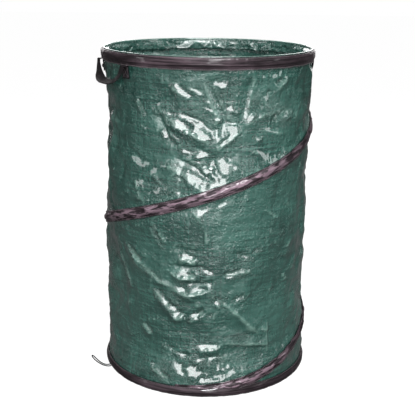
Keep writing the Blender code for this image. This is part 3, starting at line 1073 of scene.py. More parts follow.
@dataclass(frozen=True)
class BindingTape(Finish):
    """Black woven tape with a mauve sheen, pressed into lengthwise creases."""

    name: str = "black_binding_tape"
    crease_depth: float = 0.0009
    shine_from: float = 0.5
    shine: float = 0.45
    patch_edge: float = 0.22
    width: float = 1.0
    edge_width: float = 0.0024
    blotches: float = 0.0
    thread: float = 0.1
    gloss: float = 0.13
    # edge is painted light along both edges of a tape: a pale painted highlight on the rim and foot
    # tapes, a black painted shade on the coil's casing
    edge: Colour = (0.13, 0.115, 0.122, 1)
    dark: Colour = (0.0035, 0.0028, 0.0032, 1)
    # worn is the mauve of rubbed patches, and also carries the painted sheen at the front and the back
    # and in the coil's blotches
    worn: Colour = (0.05, 0.036, 0.043, 1)
    line_height: float = 0.00025
    thread_height: float = 0.00004

    def build(self, bench: Bench) -> None:
        """Add the ribs, the lengthwise creases, the rubbed mauve patches with their painted sheen, and
        the painted light along both edges.

        Args:
            bench: The finish's own bench.
        """
        place = bench.add("UVMap").outputs[0]
        weave = bench.group(over_and_under_weave, Place=place, Along=0.0011, Across=0.0008)
        long_place = bench.stretched(place, (0.22, 1, 1))
        creases = bench.group(pressed_film_creases, Place=long_place, Size=0.0075)
        lines = bench.noise(bench.stretched(place, (9, 330, 1)), 1.0, 3.0)
        cloud = bench.noise(bench.stretched(place, (0.5, 1, 1)), 24.0, 4.0, 0.6)
        rubbed_and_sheen_patches = bench.noise(bench.stretched(place, (0.26, 1.3, 1)), 125.0, 4.0, 0.62)
        painted_sheen_and_gloss = bench.marked("painted_sheen_and_gloss")
        shade = bench.weighed((lines, 0.6), (cloud, 0.5))
        shade = bench.span(shade, 0.5, 0.5 + self.patch_edge, 0.0, 1.0)
        # The blotches are partly rubbed tone and partly painted sheen
        blotch = bench.span(rubbed_and_sheen_patches, 0.47, 0.53, 0.0, self.blotches)
        # shade is painted lighter at the front and the back: painted sheen
        shade = bench.times(bench.plus(bench.times(shade, 1 - self.blotches), blotch), painted_sheen_and_gloss)
        colour = bench.mixed(shade, self.dark, self.worn)
        colour = bench.mixed(bench.times(weave["Over"], self.thread), colour, self.worn)
        across = bench.add("SeparateXYZ", place).outputs[1]
        inset = bench.math("MINIMUM", across, bench.math("SUBTRACT", self.width, across))
        painted_edge_patches = bench.span(cloud, 0.35, 0.6, 0.4, 1.0)
        # Painted light along both edges: a pale painted highlight on the rim and foot tapes, a black
        # painted shade on the coil's casing
        edge = bench.times(bench.span(inset, 0.0004, self.edge_width, 1.0, 0.0), painted_edge_patches)
        glossy = bench.span(rubbed_and_sheen_patches, self.shine_from, self.shine_from + 0.1, 0.02, self.shine)
        height = bench.weighed(
            (creases["Height"], self.crease_depth),
            (lines, self.line_height),
            (weave["Height"], self.thread_height),
        )
        bench.fill(
            {
                "Base Color": bench.mixed(edge, colour, self.edge),
                "Roughness": bench.span(cloud, 0.3, 0.7, 0.34, 0.52),
                "Coat Weight": bench.times(glossy, painted_sheen_and_gloss),
                "Coat Roughness": 0.2,
                "Coat Tint": (1, 0.93, 0.97, 1),
                "Specular IOR Level": self.gloss,
                "Specular Tint": (1, 0.86, 0.94, 1),
                "Sheen Weight": 0.02,
                "Sheen Roughness": 0.4,
                "Sheen Tint": (0.9, 0.72, 0.82, 1),
                "Normal": bench.relief(height),
            }
        )


@dataclass(frozen=True)
class Webbing(Finish):
    """Black carrying webbing, woven in ribs across its width."""

    name: str = "black_webbing"
    dark: Colour = (0.003, 0.0025, 0.003, 1)
    worn: Colour = (0.016, 0.012, 0.014, 1)

    def build(self, bench: Bench) -> None:
        """Add the ribs, the threads and the paler worn places.

        Args:
            bench: The finish's own bench.
        """
        place = bench.add("UVMap").outputs[0]
        ribs = bench.group(over_and_under_weave, Place=place, Along=0.0017, Across=0.0011)
        marks = bench.group(handling_marks, Place=place, Size=0.018)
        cloud = bench.noise(place, 140.0, 3.0)
        worn = (marks["Marks"], bench.span(cloud, 0.35, 0.65, 0.2, 0.9))
        shade = bench.weighed(worn, (ribs["Over"], 0.1))
        bench.fill(
            {
                "Base Color": bench.mixed(shade, self.dark, self.worn),
                "Roughness": bench.span(cloud, 0.3, 0.7, 0.55, 0.8),
                "Specular IOR Level": 0.05,
                "Sheen Weight": 0.01,
                "Sheen Roughness": 0.5,
                "Normal": bench.relief(bench.weighed((ribs["Height"], 0.00016), (cloud, 0.0002))),
            }
        )


@dataclass(frozen=True)
class SewingThread(Finish):
    """Twisted polyester thread."""

    name: str = "sewing_thread"
    low: Colour = (0.02, 0.016, 0.018, 1)
    high: Colour = (0.2, 0.17, 0.185, 1)

    def build(self, bench: Bench) -> None:
        """Add the twist of the plies and their uneven colour.

        Args:
            bench: The finish's own bench.
        """
        place = bench.add("TexCoord").outputs["Object"]
        twist = bench.noise(bench.stretched(place, (1, 1, 1.6)), 900.0, 2.0)
        bench.fill(
            {
                "Base Color": bench.mixed(bench.noise(place, 60.0, 2.0), self.low, self.high),
                "Roughness": bench.span(twist, 0.3, 0.7, 0.4, 0.65),
                "Normal": bench.relief(bench.times(twist, 0.0001)),
            }
        )


@dataclass(frozen=True)
class ElasticCord(Finish):
    """Round elastic cord in a braided sleeve."""

    name: str = "braided_elastic"
    dark: Colour = (0.004, 0.0045, 0.004, 1)
    light: Colour = (0.03, 0.033, 0.032, 1)
    braid_width: float = 0.0011

    def build(self, bench: Bench) -> None:
        """Add the braid that crosses round the cord.

        Args:
            bench: The finish's own bench.
        """
        place = bench.add("UVMap").outputs[0]
        axes = bench.add("SeparateXYZ", place).outputs
        left, right = (bench.math(sign, axes[0], axes[1]) for sign in ("ADD", "SUBTRACT"))
        crossed = bench.add("CombineXYZ", left, right).outputs[0]
        widths = {"Along": self.braid_width, "Across": self.braid_width}
        braid = bench.group(over_and_under_weave, Place=crossed, **widths)["Height"]
        cloud = bench.noise(place, 300.0, 2.0)
        # The braid's crowns are painted lighter than its grooves: painted shade in the grooves
        shade = bench.times(braid, bench.span(cloud, 0.3, 0.7, 0.4, 1.0))
        bench.fill(
            {
                "Base Color": bench.mixed(shade, self.dark, self.light),
                "Roughness": bench.span(cloud, 0.3, 0.7, 0.5, 0.75),
                "Specular IOR Level": 0.15,
                "Normal": bench.relief(bench.times(braid, 0.00018)),
            }
        )


@dataclass(frozen=True)
class MouldedPlastic(Finish):
    """Black moulded plastic with a fine spark grain."""

    name: str = "moulded_black_plastic"
    dark: Colour = (0.012, 0.012, 0.013, 1)
    worn: Colour = (0.05, 0.05, 0.052, 1)

    def build(self, bench: Bench) -> None:
        """Add the grain, the handling marks and the scratches.

        Args:
            bench: The finish's own bench.
        """
        place = bench.add("TexCoord").outputs["Object"]
        marks = bench.group(handling_marks, Place=place, Size=0.006)
        grain = bench.noise(place, 2600.0, 2.0)
        shade = bench.weighed((marks["Marks"], 0.25), (marks["Scratches"], 0.5))
        bench.fill(
            {
                "Base Color": bench.mixed(shade, self.dark, self.worn),
                "Roughness": bench.span(grain, 0.3, 0.7, 0.3, 0.45),
                "Normal": bench.relief(bench.times(grain, 0.00004)),
            }
        )


@dataclass(frozen=True)
class Wire(Finish):
    """Drawn metal wire or sleeve, with faint lines and dull patches."""

    name: str = "spring_steel"
    bright: Colour = (0.5, 0.5, 0.51, 1)
    dull: Colour = (0.22, 0.2, 0.19, 1)
    roughness: float = 0.28

    def build(self, bench: Bench) -> None:
        """Add the drawing lines and the dull patches.

        Args:
            bench: The finish's own bench.
        """
        place = bench.add("TexCoord").outputs["Object"]
        marks = bench.group(handling_marks, Place=place, Size=0.012)
        lines = bench.noise(bench.stretched(place, (1, 1, 9)), 300.0, 2.0)
        bench.fill(
            {
                "Base Color": bench.mixed(marks["Marks"], self.bright, self.dull),
                "Roughness": bench.span(lines, 0.3, 0.7, self.roughness, self.roughness + 0.2),
                "Metallic": 1.0,
                "Normal": bench.relief(bench.times(lines, 0.00003)),
            }
        )


@dataclass(frozen=True)
class StudioFloor(Finish):
    """Plain pale studio paper."""

    name: str = "pale_floor"
    pale: Colour = (0.08, 0.08, 0.08, 1)
    second: Colour = (0.075, 0.075, 0.075, 1)
    glow: Colour = (0.97, 0.97, 0.97, 1)

    def build(self, bench: Bench) -> None:
        """Add the paper's faint unevenness.

        Args:
            bench: The finish's own bench.
        """
        cloud = bench.noise(bench.add("TexCoord").outputs["Object"], 3.0, 2.0)
        seen = bench.add("LightPath").outputs["Is Camera Ray"]
        bench.fill(
            {
                "Base Color": bench.mixed(cloud, self.pale, self.second),
                "Roughness": 0.9,
                "Specular IOR Level": 0.1,
                "Emission Color": bench.mixed(seen, (0, 0, 0, 1), self.glow),
                "Emission Strength": 1.0,
            }
        )


# The camera, the light and the floor


@dataclass(frozen=True)
class PhotoCamera:
    """The camera as it was worked out from the rim's and the foot's ellipses."""

    pitch: float = radians(15.42)
    yaw: float = radians(0.079)
    roll: float = radians(0.658)
    focal_pixels: float = 877.8
    frame_pixels: float = 415.0
    sensor: float = 36.0

    def build(self) -> Item:
        """Place the camera and make it the scene's own.

        Returns:
            The camera.
        """
        lens = bpy.data.cameras.new("photo_camera")
        lens.sensor_width = self.sensor
        lens.lens = self.focal_pixels / self.frame_pixels * self.sensor
        lens.clip_start = 0.01
        lens.dof.use_dof = False
        item = bpy.data.objects.new("photo_camera", lens)
        ahead = Vector((math.sin(self.yaw), math.cos(self.yaw), 0)) * math.cos(self.pitch)
        ahead.z = -math.sin(self.pitch)
        level = ahead.cross(UP).normalized()
        upright = level.cross(ahead)
        right = level * math.cos(self.roll) + upright * math.sin(self.roll)
        top = upright * math.cos(self.roll) - level * math.sin(self.roll)
        turn = Matrix((right, top, -ahead)).transposed().to_4x4()
        item.matrix_world = Matrix.Translation(PHOTO_EYE) @ turn
        bpy.context.scene.collection.objects.link(item)
        bpy.context.scene.camera = item
        return item


@dataclass(frozen=True)
class Softbox:
    """A rectangular lamp that faces the bag."""

    name: str
    place: Spot
    size: tuple[float, float]
    watts: float
    aim: Spot = (0, 0, 0.36)

    def build(self) -> Item:
        """Hang the lamp.

        Returns:
            The lamp.
        """
        lamp = bpy.data.lights.new(self.name, "AREA")
        lamp.shape = "RECTANGLE"
        lamp.size, lamp.size_y = self.size
        lamp.energy = self.watts
        item = bpy.data.objects.new(self.name, lamp)
        item.location = self.place
        facing = Vector(self.aim) - Vector(self.place)
        item.rotation_euler = facing.to_track_quat("-Z", "Y").to_euler()
        bpy.context.scene.collection.objects.link(item)
        return item


@dataclass(frozen=True)
class Studio:
    """The pale floor, the lamps and the bright room round them."""

    lamps: tuple[Softbox, ...] = (
        Softbox("key_softbox", KEY_LAMP, (1.1, 1.2), 64.0),
        Softbox("front_softbox", (0.0, -2.9, 1.1), (2.6, 2.0), 64.0),
        Softbox("high_softbox", (0.4, -1.5, 2.5), (1.0, 1.0), 105.0),
        Softbox("left_strip", (-2.4, -0.9, 1.1), (0.5, 1.4), 15.0),
        Softbox("right_strip", (2.4, -0.9, 1.1), (0.5, 1.4), 15.0),
        Softbox("left_back_softbox", (-0.95, 3.0, 1.25), (1.2, 1.6), 34.0),
        Softbox("right_back_softbox", (0.95, 3.0, 1.25), (1.2, 1.6), 34.0),
        Softbox("top_lamp", (0.0, -0.3, 2.8), (1.4, 1.4), 44.0),
    )
    floor_width: float = 30.0
    room_light: float = 0.16

    def build(self) -> None:
        """Lay the floor, hang the lamps and light the room."""
        scene = bpy.context.scene
        scene.view_settings.view_transform = "Standard"
        for lamp in self.lamps:
            lamp.build()
        bpy.ops.object.select_all(action="DESELECT")
        bpy.ops.mesh.primitive_plane_add(size=self.floor_width, location=(0, 0, -0.0006))
        floor = named(bpy.context.object, "studio_floor")
        floor.data.materials.append(StudioFloor().material())
        world = bpy.data.worlds.new("studio_room")
        world.use_nodes = True
        bench = Bench(world.node_tree)
        seen = bench.add("LightPath").outputs["Is Camera Ray"]
        backdrop = world.node_tree.nodes["Background"]
        backdrop.inputs[0].default_value = (1, 1, 1, 1)
        bench.feed(backdrop.inputs[1], bench.span(seen, 0.0, 1.0, self.room_light, 1.0))
        scene.world = world


# The bag's own pieces


@dataclass(frozen=True)
class Fold:
    """A crease of the wall at places that the photograph shows.

    depth is how far it stands out, in millimetres. places are angles in degrees and
    heights in millimetres.
    """

    depth: float
    places: tuple[Pair, ...]


FRONT_FOLDS = tuple(
    Fold(*row)
    for row in (
        (-2.6, ((-90, 668), (-87, 639), (-83, 608), (-80, 586), (-74, 571))),
        (1.6, ((-92, 664), (-90, 640), (-87, 612), (-84, 590))),
        (-2.2, ((-67, 670), (-68, 645), (-69, 618), (-71, 584))),
        (1.8, ((-70, 575), (-58, 597), (-36, 596))), (3.0, ((-71, 568), (-79, 545), (-85, 527))),
        (3.2, ((-113, 594), (-96, 556), (-88, 540))),
        (-2.0, ((-104, 601), (-93, 585), (-88, 566))),
        (-2.8, ((-119, 611), (-115, 587), (-111, 554), (-104, 522))),
        (-2.4, ((-86, 521), (-86, 504), (-84, 481))),
        (2.0, ((-109, 654), (-104, 637), (-98, 629))), (1.7, ((-101, 651), (-91, 641))),
        (3.2, ((-111, 497), (-100, 475), (-90, 443))),
        (-2.2, ((-107, 512), (-96, 494), (-87, 464))), (1.6, ((-130, 621), (-124, 589))),
        (1.6, ((-54, 652), (-44, 660))), (1.6, ((-30, 616), (-36, 572))),
        (1.4, ((-61, 565), (-44, 552))),
        (2.3, ((-139, 318), (-128, 281), (-116, 249), (-108, 235))),
        (3.2, ((-120, 227), (-111, 195), (-106, 173), (-102, 178))),
        (1.6, ((-150, 316), (-142, 264), (-136, 213))), (3.0, ((-105, 303), (-95, 299))),
        (-1.6, ((-107, 322), (-102, 326), (-93, 318))),
        (3.0, ((-110, 270), (-103, 260), (-96, 270))),
        (-2.0, ((-108, 287), (-98, 285), (-90, 288))),
        (3.2, ((-110, 240), (-100, 225), (-90, 236))),
        (-2.0, ((-105, 252), (-94, 250), (-86, 254))), (2.2, ((-80, 271), (-65, 274))),
        (2.0, ((-83, 218), (-72, 180), (-57, 125))), (2.0, ((-52, 153), (-52, 98), (-80, 116))),
        (3.0, ((-94, 103), (-81, 109))), (2.0, ((-122, 54), (-110, 32))),
        (2.0, ((-129, 146), (-122, 123))), (2.4, ((-100, 163), (-91, 190))),
        (1.5, ((-120, 373), (-111, 330))),
    )
)

# Places on the wall where the film is crushed: angle in degrees, height and reach in mm
CRUSHED_PATCHES = (
    (-98, 570, 26), (-85, 645, 24), (-60, 607, 26), (-44, 590, 22), (-80, 492, 22),
    (-104, 645, 14), (-78, 548, 16), (-97, 478, 22), (-112, 440, 20), (-108, 205, 18),
    (-92, 48, 34), (-80, 40, 28), (-84, 218, 12), (-100, 245, 22), (-72, 275, 16), (-113, 45, 20),
    (-70, 120, 16), (-88, 112, 14),
)


@dataclass(frozen=True)
class Facet:
    """A flat place of the wall that shines in the photograph, turned towards the lamp.

    start and end are the ends of its middle line: an angle in degrees and a height in
    millimetres. width is in millimetres, and turned is how far it is turned.
    """

    start: Pair
    end: Pair
    width: float
    turned: float = 1.0
    soft: float = 0.0024
    waist: float = 0.45
    ragged: float = 0.22
    rise: float = 0.0042

    def press(self, mask: Array, raster: Array, ends: Array, slope: Array, step: Array) -> None:
        """Lay the facet over a raster of heights.

        Args:
            mask: How much of each place is covered, changed in place.
            raster: The covered heights, changed in place.
            ends: The ends of its middle line on the flat cut.
            slope: How fast it rises along the cut and up it.
            step: The raster's steps along the cut and up it.
        """
        middle = ends.mean(0)
        run = ends[1] - ends[0]
        reach = float(np.hypot(*run)) / 2
        half, soft = self.width / 2000, self.soft
        pad = reach + half + soft
        low = np.maximum(np.ceil((middle - pad) / step).astype(int), 0)
        high = np.minimum(((middle + pad) / step).astype(int), np.array(raster.shape)[::-1] - 1)
        x = np.arange(low[0], high[0] + 1)[None, :] * step[0] - middle[0]
        y = np.arange(low[1], high[1] + 1)[:, None] * step[1] - middle[1]
        ahead = (x * run[0] + y * run[1]) / (2 * reach)
        aside = (y * run[0] - x * run[1]) / (2 * reach)
        waist = 1 - self.waist * np.clip(ahead / reach, -1, 1) ** 2
        waist = waist * (1 + self.ragged * np.sin(ahead * 420 + self.start[1]))
        cover = ease((half * waist + soft - np.abs(aside)) / soft)
        cover = cover * ease((reach + soft - np.abs(ahead)) / (2 * soft))
        plane = self.rise * np.tanh((x * slope[0] + y * slope[1]) / self.rise)
        spot = np.s_[low[1] : high[1] + 1, low[0] : high[0] + 1]
        level = raster[spot][plane.shape[0] // 2, plane.shape[1] // 2]
        raster[spot] = raster[spot] * (1 - cover) + (plane + 0.5 * level) * cover
        mask[spot] = 1 - (1 - mask[spot]) * (1 - cover)


# The wall's shining facets, measured in the photograph
FRONT_FACETS = tuple(
    Facet(*row)
    for row in (
        ((-108, 656), (-98, 633), 10), ((-100, 648), (-92, 641), 9),
        ((-88, 660), (-79, 653), 16, 0.8), ((-93, 629), (-87, 619), 9, 0.8),
        ((-92, 613), (-87, 602), 9, 0.8), ((-112, 583), (-97, 569), 21),
        ((-98, 569), (-87, 548), 15), ((-87, 589), (-82, 587), 10, 0.9),
        ((-110, 555), (-104, 546), 9, 0.9), ((-80, 569), (-73, 570), 16),
        ((-73, 563), (-84, 535), 12), ((-104, 525), (-98, 521), 11),
        ((-97, 513), (-88, 522), 13, 0.9), ((-111, 499), (-101, 480), 15),
        ((-102, 483), (-89, 450), 16), ((-93, 487), (-86, 484), 13), ((-88, 477), (-82, 469), 10),
        ((-84, 495), (-73, 493), 16, 0.7), ((-67, 615), (-54, 603), 12, 0.75),
        ((-54, 587), (-39, 589), 17, 0.7), ((-52, 656), (-44, 663), 9, 0.9),
        ((-58, 639), (-53, 636), 9, 0.9), ((-69, 581), (-64, 596), 11, 0.9),
        ((-81, 613), (-73, 600), 10, 0.8), ((-65, 552), (-60, 543), 9, 0.9),
        ((-130, 618), (-125, 589), 9, 0.9), ((-115, 565), (-112, 544), 9, 0.9),
        ((-120, 606), (-116, 593), 9, 0.8), ((-78, 462), (-70, 468), 9, 0.9),
        ((-114, 598), (-107, 596), 9, 0.9), ((-119, 471), (-112, 447), 9, 0.8),
        ((-109, 478), (-101, 461), 9, 0.7), ((-50, 507), (-42, 511), 9, 0.8),
        ((-108, 679), (-86, 685), 9, 0.8), ((-140, 315), (-128, 285), 9, 0.9),
        ((-128, 276), (-115, 247), 9, 0.9), ((-104, 311), (-96, 304), 16),
        ((-107, 269), (-96, 268), 10), ((-94, 284), (-85, 273), 10, 0.8),
        ((-80, 270), (-70, 272), 9), ((-109, 239), (-99, 231), 12), ((-100, 231), (-89, 239), 11),
        ((-120, 227), (-110, 195), 16, 0.9), ((-111, 197), (-104, 176), 21),
        ((-100, 165), (-91, 192), 13), ((-89, 174), (-86, 181), 9),
        ((-129, 143), (-122, 126), 9, 0.9), ((-115, 104), (-108, 98), 9, 0.9),
        ((-95, 107), (-82, 111), 13), ((-108, 89), (-99, 88), 9, 0.9),
        ((-89, 84), (-79, 82), 9, 0.8), ((-110, 69), (-100, 51), 23), ((-100, 66), (-92, 38), 29),
        ((-93, 37), (-86, 28), 21), ((-121, 52), (-110, 34), 12), ((-86, 44), (-70, 48), 15),
        ((-81, 55), (-75, 66), 10, 0.9), ((-73, 314), (-63, 295), 9, 0.8),
        ((-64, 311), (-58, 318), 9, 0.8), ((-74, 212), (-67, 216), 13, 0.75),
        ((-148, 300), (-136, 215), 7, 0.6), ((-120, 365), (-113, 318), 9, 0.6),
        ((-85, 218), (-80, 203), 13, 0.75), ((-93, 257), (-91, 259), 9, 0.8),
    )
)


@dataclass(frozen=True)
class TarpaulinTube:
    """The wall, the hem at its mouth and the floor, all of the same cloth."""

    columns: int = 436
    rows: int = 224
    levels: tuple[Crumple, ...] = (
        Crumple(0.105, 0.0036, 11),
        Crumple(0.044, 0.0056, 23),
        Crumple(0.025, 0.0036, 37),
        Crumple(0.0115, 0.0016, 53),
    )
    stray_count: int = 460
    crushed_elsewhere: int = 46
    upper_gain: float = 1.4
    lower_gain: float = 1.9
    lower_end: float = 350
    crease_gain: float = 1.25
    crease_half: float = 0.0065
    under_share: float = 0.7
    flare: float = 0.008
    steepest: float = 0.5
    calm: float = 0.55
    pucker: float = 0.0007
    seam_width: float = 0.014
    seam_rise: float = 0.0008
    bulge: float = 0.0045
    spare: float = 0.001
    hem_width: float = 0.0285
    hem_pleats: tuple[float, ...] = (49.0, 52.5, 60.0, 66.0)
    hem_cloth: float = 0.0006
    floor_square: float = 0.45

    @property
    def girth(self) -> float:
        """The cut's length round the bag."""
        return TURN * PLAN.wall_outer

    @property
    def drop(self) -> float:
        """The cut's height."""
        return PLAN.wall_top - PLAN.wall_foot

    def along(self, degrees: float) -> float:
        """Return how far round the cut an angle lies from its seam."""
        return (radians(degrees) - SEAM_ANGLE) % TURN * PLAN.wall_outer

    def crush(self, angle: Array, height: Array) -> Array:
        """Return how crushed the film is, from 0 to 1.

        Args:
            angle: Angles round the axis.
            height: Heights above the ground.

        Returns:
            How crushed each place is.
        """
        draw = np.random.default_rng(71)
        patches = list(CRUSHED_PATCHES)
        for _ in range(self.crushed_elsewhere):
            patches.append((draw.uniform(-20, 210), draw.uniform(30, 670), draw.uniform(12, 34)))
        total = np.zeros_like(height)
        for degrees, middle, reach in patches:
            aside = turn_between(angle, radians(degrees)) * PLAN.wall_outer
            spread = (aside**2 * 0.6 + (height - middle / 1000) ** 2) / (reach / 1000) ** 2
            total += np.exp(-spread)
        return np.clip(total, 0, 1)

    def drawn_in(self, angle: Array, height: Array) -> Array:
        """Return the wall's radius before it is crumpled, drawn in between the tapes.

        Args:
            angle: Angles round the axis.
            height: Heights above the ground.

        Returns:
            The radius at each place.
        """
        gap, share, panel = PLAN.panel_share(angle, height)
        sag = PLAN.wall_sag * ease(2 * panel / (PLAN.coil_rise * TURN))
        sag = sag * (1 + 0.3 * np.cos(angle - radians(190)))
        flare = ease((height - PLAN.foot_band_height) / 0.075) * ease((0.3 - height) / 0.18)
        front = ease((1.15 - np.abs(turn_between(angle, radians(-95)))) / 0.5)
        hollow = 1 - np.abs(2 * share - 1) ** PLAN.sag_power
        return PLAN.wall_outer - sag * hollow - self.flare * flare * front * ease(gap / 0.03)

    def lean(self, angle: float, height: float) -> Array:
        """Return the slopes that turn a place of the wall halfway to the key lamp.

        Args:
            angle: The place's angle.
            height: The place's height.

        Returns:
            How fast the cloth rises there along the cut and up it.
        """
        angles = np.array([angle, angle - 0.01, angle + 0.01, angle, angle])
        heights = np.array([height, height, height, height - 0.002, height + 0.002])
        radius = self.drawn_in(angles, heights)
        place = around(angles, radius, heights)[0]
        halfway = np.zeros(3)
        for source in (KEY_LAMP, PHOTO_EYE):
            way = np.array(source) - place
            halfway += way / np.linalg.norm(way)
        aside = outward(angle + math.pi / 2)
        wanted = -np.array([halfway @ aside, halfway[2]]) / (halfway @ outward(angle))
        held = (radius[2] - radius[1]) / 0.02 / radius[0], (radius[4] - radius[3]) / 0.004
        return np.clip(wanted, -self.steepest, self.steepest) - held

    def on_cut(self, places: Sequence[Pair]) -> Array:
        """Return where angles in degrees and heights in millimetres lie on the cut."""
        return np.array([(self.along(a), h / 1000 - PLAN.wall_foot) for a, h in places])

    def facets(self, under: Array) -> tuple[Array, Array]:
        """Lay the shining facets over the cut.

        Args:
            under: The heights of the cloth that they are folded out of.

        Returns:
            How much of each place they cover, and the covered heights.
        """
        step = np.array([self.girth / self.columns, self.drop / self.rows])
        mask, raster = np.zeros_like(under), under.copy()
        for facet in FRONT_FACETS:
            middle = radians((facet.start[0] + facet.end[0]) / 2)
            slope = facet.turned * self.lean(middle, (facet.start[1] + facet.end[1]) / 2000)
            facet.press(mask, raster, self.on_cut((facet.start, facet.end)), slope, step)
        return mask, raster * mask

    def relief(self) -> list[Array]:
        """Crease the whole cut.

        Returns:
            The heights of each level's creases and of the pressed creases, how much of each
            place the facets cover, and the covered heights.
        """
        size = (self.girth, self.drop)
        cells = (self.columns, self.rows)
        folds = []
        for fold in FRONT_FOLDS:
            gain = self.lower_gain if fold.places[0][1] < self.lower_end else self.upper_gain
            folds.append((self.on_cut(fold.places), gain * fold.depth / 1000))
        lines = [Crease(points, self.crease_gain * depth, self.crease_half) for points, depth in folds]
        lines += stray_creases(size, self.stray_count, 83)
        rasters = []
        for level, crumple in enumerate(self.levels):
            raster = crumple.raster(size, cells, folds if level == 1 else ())
            rasters.append(blurred(raster, 1 if level == 0 else 0))
        pressed = np.zeros_like(rasters[0])
        for line in lines:
            for turn in (-1, 0, 1):
                line.press(pressed, size, turn * self.girth)
        under = self.under_share * (rasters[0] + rasters[1])
        return [*rasters, pressed, *self.facets(under)]

    def wall(self) -> Item:
        """Roll the wall into its tube, draw it in between the tapes and crumple it.

        Returns:
            The wall.
        """
        rasters = self.relief()

        def way(u: Array, v: Array) -> Array:
            """Give the wall's points.

            Args:
                u: Shares of the cut's length.
                v: Shares of its width.

            Returns:
                One point for each.
            """
            angle = SEAM_ANGLE + u * TURN
            height = PLAN.wall_foot + v * self.drop
            gap, _, _ = PLAN.panel_share(angle, height)
            radius = self.drawn_in(angle, height)
            crush = self.crush(angle, height)
            clear = self.clear_of_tails(angle, height)
            free, close = ease(gap / 0.020) * clear, ease(gap / 0.009) * clear
            calm = 1 - self.calm * window(turn_between(angle, radians(-90)), 0.8, 0.4)
            calm = calm * (1 - self.calm * window(height - 0.385, 0.04, 0.04) * (calm < 1))
            broad, middle, small, fine, pressed, cover, facets = (sampled(r, u, v) for r in rasters)
            push = (broad + calm * middle) * free + small * close * calm * (0.75 + 0.25 * crush)
            push += fine * close * (0.3 + 0.7 * crush) + pressed * close
            push = push * (1 - cover) + (facets + 0.6 * cover * fine) * close
            pucker = self.pucker * (1 + np.sin(u * 640 + 3 * np.sin(u * 95)) * np.sin(u * 233 + 1.3))
            push -= pucker * window(gap - 0.009, 0.003, 0.007) * (gap > 0)
            from_seam = turn_between(angle, SEAM_ANGLE) * PLAN.wall_outer
            seam = window(from_seam, self.seam_width / 2, 0.001)
            push = push * (1 - 0.7 * seam) + self.seam_rise * seam * (gap > 0.001)
            limit = PLAN.wall_outer + self.bulge * ease((gap - 0.002) / 0.03)
            spare = np.logaddexp(0, (limit - radius - push) / self.spare)
            return around(angle, limit - self.spare * spare, height)

        cut = FlatCut("tarpaulin_wall", self.girth, self.drop, self.columns, self.rows)
        item = cut.laid(way, closed=True)
        points = read_points(item.data)
        angle = np.arctan2(points[:, 1], points[:, 0])
        u = (angle - SEAM_ANGLE) % TURN / TURN
        v = (points[:, 2] - PLAN.wall_foot) / self.drop
        _, middle, small, fine, pressed, covered, _ = rasters
        crush = np.maximum(self.crush(angle, points[:, 2]), 0.9 * sampled(covered, u, v))
        write_attribute(item.data, "crush", crush)
        # The crests where the wall bends out sharply are marked for painting pale: partly the film's
        # whitening, partly painted highlight
        total = 0.7 * middle + 0.6 * small + 0.4 * fine + pressed
        bend = (total - blurred(total, 4)) / 0.0006
        write_attribute(item.data, "crest_white_and_highlight", np.clip(sampled(bend, u, v) - 0.5, 0, 1) ** 2)
        dress(item, Tarpaulin(), Body.BASE, Slot.TARPAULIN, "wall_panel")
        fold_with_coil(item)
        return item

    @staticmethod
    def clear_of_tails(angle: Array, height: Array) -> Array:
        """Return 0 where a strap's sewn tail lies flat on the wall, and 1 away from it.

        Args:
            angle: Angles round the axis.
            height: Heights above the ground.

        Returns:
            How clear each place is.
        """
        kept = np.ones_like(height)
        for middle, half, tall in tail_spots((0.011, 0.027), (0.006, 0.009)):
            aside = window(turn_between(angle, middle) * PLAN.wall_outer, half, 0.006)
            kept *= 1 - aside * ease((height - PLAN.top_band_bottom + tall + 0.006) / 0.006)
        return kept

    def hem(self) -> Item:
        """Turn the hem over the mouth and down inside it, with a few small pleats.

        Returns:
            The hem.
        """
        radii = (0.2214, 0.2215, 0.2215, 0.2217, 0.2222, 0.2229, 0.2234)
        heights = (0.6856, 0.6990, 0.7084, 0.7100, 0.7106, 0.7106, 0.7101)
        lengths = run_lengths(np.array([radii, heights]).T)
        lengths /= lengths[-1]
        layers = (Crumple(0.034, 0.0034, 67), Crumple(0.013, 0.0021, 68))
        creased = sum(layer.raster((self.girth, 0.03), (700, 14)) for layer in layers)

        def way(u: Array, v: Array) -> Array:
            """Give the hem's points.

            Args:
                u: Shares of the cut's length.
                v: Shares of its width.

            Returns:
                One point for each.
            """
            angle = SEAM_ANGLE + u * TURN
            radius = np.interp(v, lengths, radii)
            radius = radius - (0.0028 + sampled(creased, u, v)) * ease((0.68 - v) / 0.2)
            height = np.interp(v, lengths, heights)
            low = ease(1 - v / 0.75)
            wave = np.sin(angle * 17 + 2 * np.sin(angle * 5)) + 0.7 * np.sin(angle * 41 + 1.1)
            radius = radius - low * (0.0006 + 0.0005 * wave)
            for degrees in self.hem_pleats:
                aside = turn_between(angle, radians(degrees)) * PLAN.wall_outer
                radius = radius - 0.0016 * low * np.exp(-((aside / 0.0028) ** 2))
            ragged = 0.0006 * np.sin(angle * 29 + 0.4) + 0.0005 * np.sin(angle * 11)
            return around(angle, radius, height + ragged * ease(1 - v * 3))

        item = FlatCut("mouth_hem", self.girth, self.hem_width, 720, 14).laid(way, closed=True)
        finish_with(item, "SOLIDIFY", thickness=self.hem_cloth, offset=0.0)
        x, y, height = read_points(item.data).T
        write_attribute(item.data, "crush", 0.3 * np.sin(np.arctan2(y, x) * 9) ** 2)
        # A painted highlight along the hem's top fold
        write_attribute(item.data, "crest_white_and_highlight", 1.3 * ease((height - 0.7094) / 0.0008))
        dress(item, Tarpaulin(), Body.RIM, Slot.TARPAULIN, "rim_hem")
        return item

